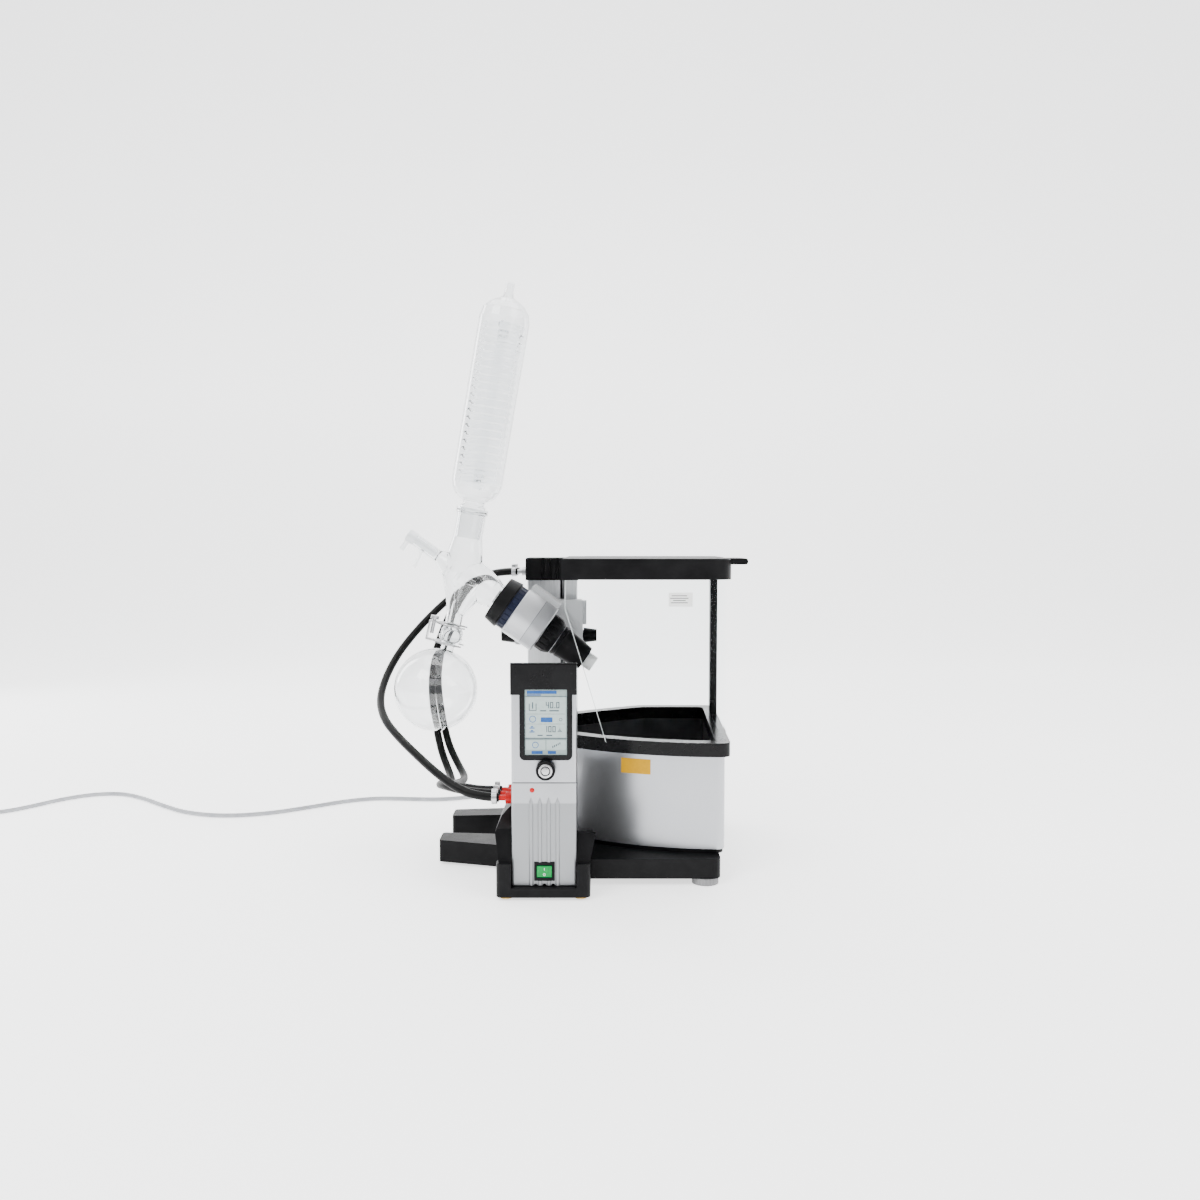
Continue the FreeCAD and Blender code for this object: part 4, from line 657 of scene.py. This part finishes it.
def ribbed_knob():
    """Black knob with a finely ribbed side and a dished face."""
    mesh = bmesh.new()
    steps, ribs = 216, 36
    # share of the radius, height and how deep the ribs are there
    stations = [
        (0.0040, -KNOB_DEEP, 0.0),
        (0.94, -KNOB_DEEP, 0.2),
        (1.0, -KNOB_DEEP + 0.001, 1.0),
        (1.0, -0.0024, 1.0),
        (0.975, -0.0009, 0.4),
        (0.90, -0.0001, 0.0),
        (0.78, -0.0001, 0.0),
        (0.74, KNOB_DISH, 0.0),
        (0.05, KNOB_DISH, 0.0),
    ]
    rings = []
    for share, height, depth in stations:
        ring = []
        for i in range(steps):
            angle = math.tau * i / steps
            radius = KNOB_RADIUS * share - KNOB_RIB * depth * (1 + math.cos(ribs * angle))
            ring.append((radius * math.cos(angle), radius * math.sin(angle), height))
        rings.append(ring)
    skin(mesh, rings, KNOB)
    shaft = KNOB @ Matrix.Translation((0, 0, -KNOB_DEEP - 0.010))
    lathe(mesh, [(0.003, 0.0), (0.003, 0.010)], shaft, 24)
    return mesh


piece("knob_body", ribbed_knob(), "knob", BLACK, ["control_knob"])
cap = bmesh.new()
cap_ring = [(0.0093, KNOB_DISH), (0.0093, -0.0004), (0.0088, -0.0001), (0.0070, -0.0001)]
cap_ring += [(0.0066, -0.0005), (0.0066, KNOB_DISH)]
lathe(cap, cap_ring, KNOB, 64, closed=True)
lathe(cap, [(0.0052, KNOB_DISH), (0.0052, -0.0007), (0.0040, -0.0004), (0.0010, -0.0003)], KNOB, 48)
piece("knob_cap", cap, "knob", STEEL)

rocker_low, rocker_high = box("switch_rocker")
rocker_middle = (rocker_low + rocker_high) / 2
ROCKER = front_facing(rocker_middle.x, rocker_low.y + 0.0004, rocker_middle.z)
marks = bmesh.new()
slab(marks, rounded_outline(0.0008, 0.0034, 0.0003), 0.0004, at(0, 0.0036, ROCKER))
ring = [(0.0011, 0), (0.0018, 0), (0.0018, 0.0004), (0.0011, 0.0004)]
lathe(marks, ring, at(0, -0.0036, ROCKER), 28, closed=True)
piece("rocker_marks", marks, "rocker", PAPER)

# ---------------------------------------------------------------- marks on the housings

RED_MARK = front_facing(-0.035, panel_low.y + 0.002, panel_high.z - 0.0095)
dot = bmesh.new()
lathe(dot, [(0.0034, 0), (0.0034, 0.0001), (0.0032, 0.00022)], RED_MARK)
piece("red_mark", dot, "base", RED)


LABEL_LEFT, LABEL_WIDE = 0.088, 0.042
LABEL_LOW, LABEL_TOP = 0.149, 0.171
LABEL_STEPS = 12
# how far the label's back and front stand off the wall
LABEL_SKINS = (0.00012, 0.00034)


def wall_label():
    """Plain label that follows the bath's curved front wall."""
    mesh = bmesh.new()
    wall = NODES["bath_wall"]
    rings = []
    for step in range(LABEL_STEPS + 1):
        across = LABEL_LEFT + LABEL_WIDE * step / LABEL_STEPS
        ring = []
        for high, skins in ((LABEL_LOW, LABEL_SKINS), (LABEL_TOP, LABEL_SKINS[::-1])):
            _, spot, normal, _ = wall.ray_cast((across, -1.0, high), (0, 1, 0))
            ring += [spot + normal * clear_of_wall for clear_of_wall in skins]
        rings.append(ring)
    skin(mesh, rings, Matrix())
    return mesh


piece("bath_label", wall_label(), "base", GLOWING_YELLOW)

pane_low, pane_high = box("hood_pane_front")
STICKER = front_facing(0.171, pane_low.y, 0.403)
sticker = bmesh.new()
slab(sticker, rounded_outline(0.034, 0.020, 0.0012), 0.0002, STICKER)
piece("pane_sticker", sticker, "hood", PAPER)
lines = bmesh.new()
for height, width in ((0.0055, 0.022), (0.0020, 0.026), (-0.0012, 0.018), (-0.0044, 0.024)):
    slab(lines, rounded_outline(width, 0.0011, 0.0004), 0.00032, at(-0.002, height, STICKER))
piece("sticker_lines", lines, "hood", INK)

# ---------------------------------------------------------------- painted highlight on the hood pane's edge, and screws


def painted_pane_edge_highlight():
    """Painted highlight: a glowing strip along the open left side of the front pane, where its cut edge
    catches the light.
    """
    low, top = pane_low.z, pane_high.z
    front, back = pane_low.y + 0.0001, pane_low.y + 0.0039
    path = [(0.0655, low + 0.0004), (0.0166, 0.3619), (0.0079, 0.3900), (0.0079, top - 0.0004)]
    mesh = bmesh.new()
    rings = []
    for across, high in path:
        left = across - 0.0007
        rings.append([(left, front, high), (across, front, high), (across, back, high), (left, back, high)])
    skin(mesh, rings, Matrix())
    return mesh


piece("painted_pane_edge_highlight", painted_pane_edge_highlight(), "hood", PANE_EDGE_HIGHLIGHT)


def screw(mesh, place, radius=0.003, height=0.0016):
    """Button head with a hexagon socket."""
    profile = [(radius, 0), (radius, height * 0.35), (radius * 0.8, height * 0.8), (radius * 0.55, height)]
    lathe(mesh, profile + [(radius * 0.5, height)], place, 24)
    corners = [math.pi / 3 * i for i in range(6)]
    socket = [(radius * 0.45 * math.cos(a), radius * 0.45 * math.sin(a)) for a in corners]
    slab(mesh, socket, height + 0.0001, place, 0.00002)


POST_ACROSS, POST_FRONT = 0.2440, 0.096
POST_SCREW_PITCH = 0.0474
screws = bmesh.new()
for step in range(5):
    screw(screws, front_facing(POST_ACROSS, POST_FRONT, pane_low.z + 0.020 + POST_SCREW_PITCH * step))
piece("post_screws", screws, "hood", GLOSS_BLACK)

# ---------------------------------------------------------------- condenser coil

# the glass stands on the distribution head and leans to the right
GLASS_FOOT = Vector((-0.1609, 0.020, 0.4364))
GLASS_LEAN = math.radians(10)
GLASS_FRAME = Matrix.Translation(GLASS_FOOT) @ Matrix.Rotation(GLASS_LEAN, 4, "Y")


def coil_piece():
    """Helical coil whose two ends sweep in to the straight tube on its axis."""
    mesh = bmesh.new()
    low, high, radius, tube, pitch, core = 0.137, 0.394, 0.030, 0.004, 0.012, 0.0055
    turns = (high - low) / pitch
    per_turn, around = 36, 12
    steps = round(turns * per_turn)
    path = []
    for i in range(steps + 1):
        turn = turns * i / steps
        inner = min(1.0, turn / 0.4, (turns - turn) / 0.4)
        ease = inner * inner * (3 - 2 * inner)
        reach = core + (radius - core) * ease
        angle = math.tau * turn
        path.append(Vector((reach * math.cos(angle), reach * math.sin(angle), low + pitch * turn)))
    rings = []
    for i, middle in enumerate(path):
        way = (path[min(i + 1, steps)] - path[max(i - 1, 0)]).normalized()
        side = way.cross(Vector((0, 0, 1))).normalized()
        up = side.cross(way)
        turned = [math.tau * k / around for k in range(around)]
        rings.append([middle + (side * math.cos(a) + up * math.sin(a)) * tube for a in turned])
    skin(mesh, rings, GLASS_FRAME)
    stem = [(0.001, low - 0.004), (0.0045, low - 0.0035), (0.0062, low - 0.001), (0.0065, low + 0.002)]
    stem += [(0.0065, high - 0.002), (0.0062, high + 0.001), (0.0045, high + 0.0035), (0.001, high + 0.004)]
    lathe(mesh, stem, GLASS_FRAME, 36)
    return mesh


piece("glass_coil", coil_piece(), "drive", COIL_GLASS, ["condenser_coil"])

# ---------------------------------------------------------------- drive details

SEAM_INNER, SEAM_OUTER = 0.0396, 0.04004
SEAM_END = BARREL_SEAM + 0.0005
seam = bmesh.new()
seam_ring = [(SEAM_INNER, BARREL_SEAM), (SEAM_OUTER, BARREL_SEAM)]
seam_ring += [(SEAM_OUTER, SEAM_END), (SEAM_INNER, SEAM_END)]
lathe(seam, seam_ring, DRIVE, 96, closed=True)
piece("barrel_seam", seam, "drive", BLACK)

studs = bmesh.new()
for step in range(4):
    turn = Matrix.Rotation(math.radians(-45 + 90 * step), 4, "Z")
    screw(studs, DRIVE @ turn @ Matrix.Translation((0.0345, 0, 0.023)), 0.0022, 0.0009)
piece("barrel_screws", studs, "drive", STEEL)

_, connector_high = box("tower_connectors")
PORT_FRONT, PORT_PITCH, PORT_HEIGHT = -0.180, 0.022, 0.128
RIB = [(0.0076, 0), (0.0083, 0.0003), (0.0083, 0.0010), (0.0076, 0.0013)]
ribs = bmesh.new()
for port in range(3):
    for step in range(4):
        left = connector_high.x - 0.0187 + 0.0024 * step
        place = Matrix.Translation((left, PORT_FRONT + PORT_PITCH * port, PORT_HEIGHT))
        lathe(ribs, RIB, place @ Matrix.Rotation(math.pi / 2, 4, "Y"), 40, closed=True)
piece("connector_ribs", ribs, "base", RED)
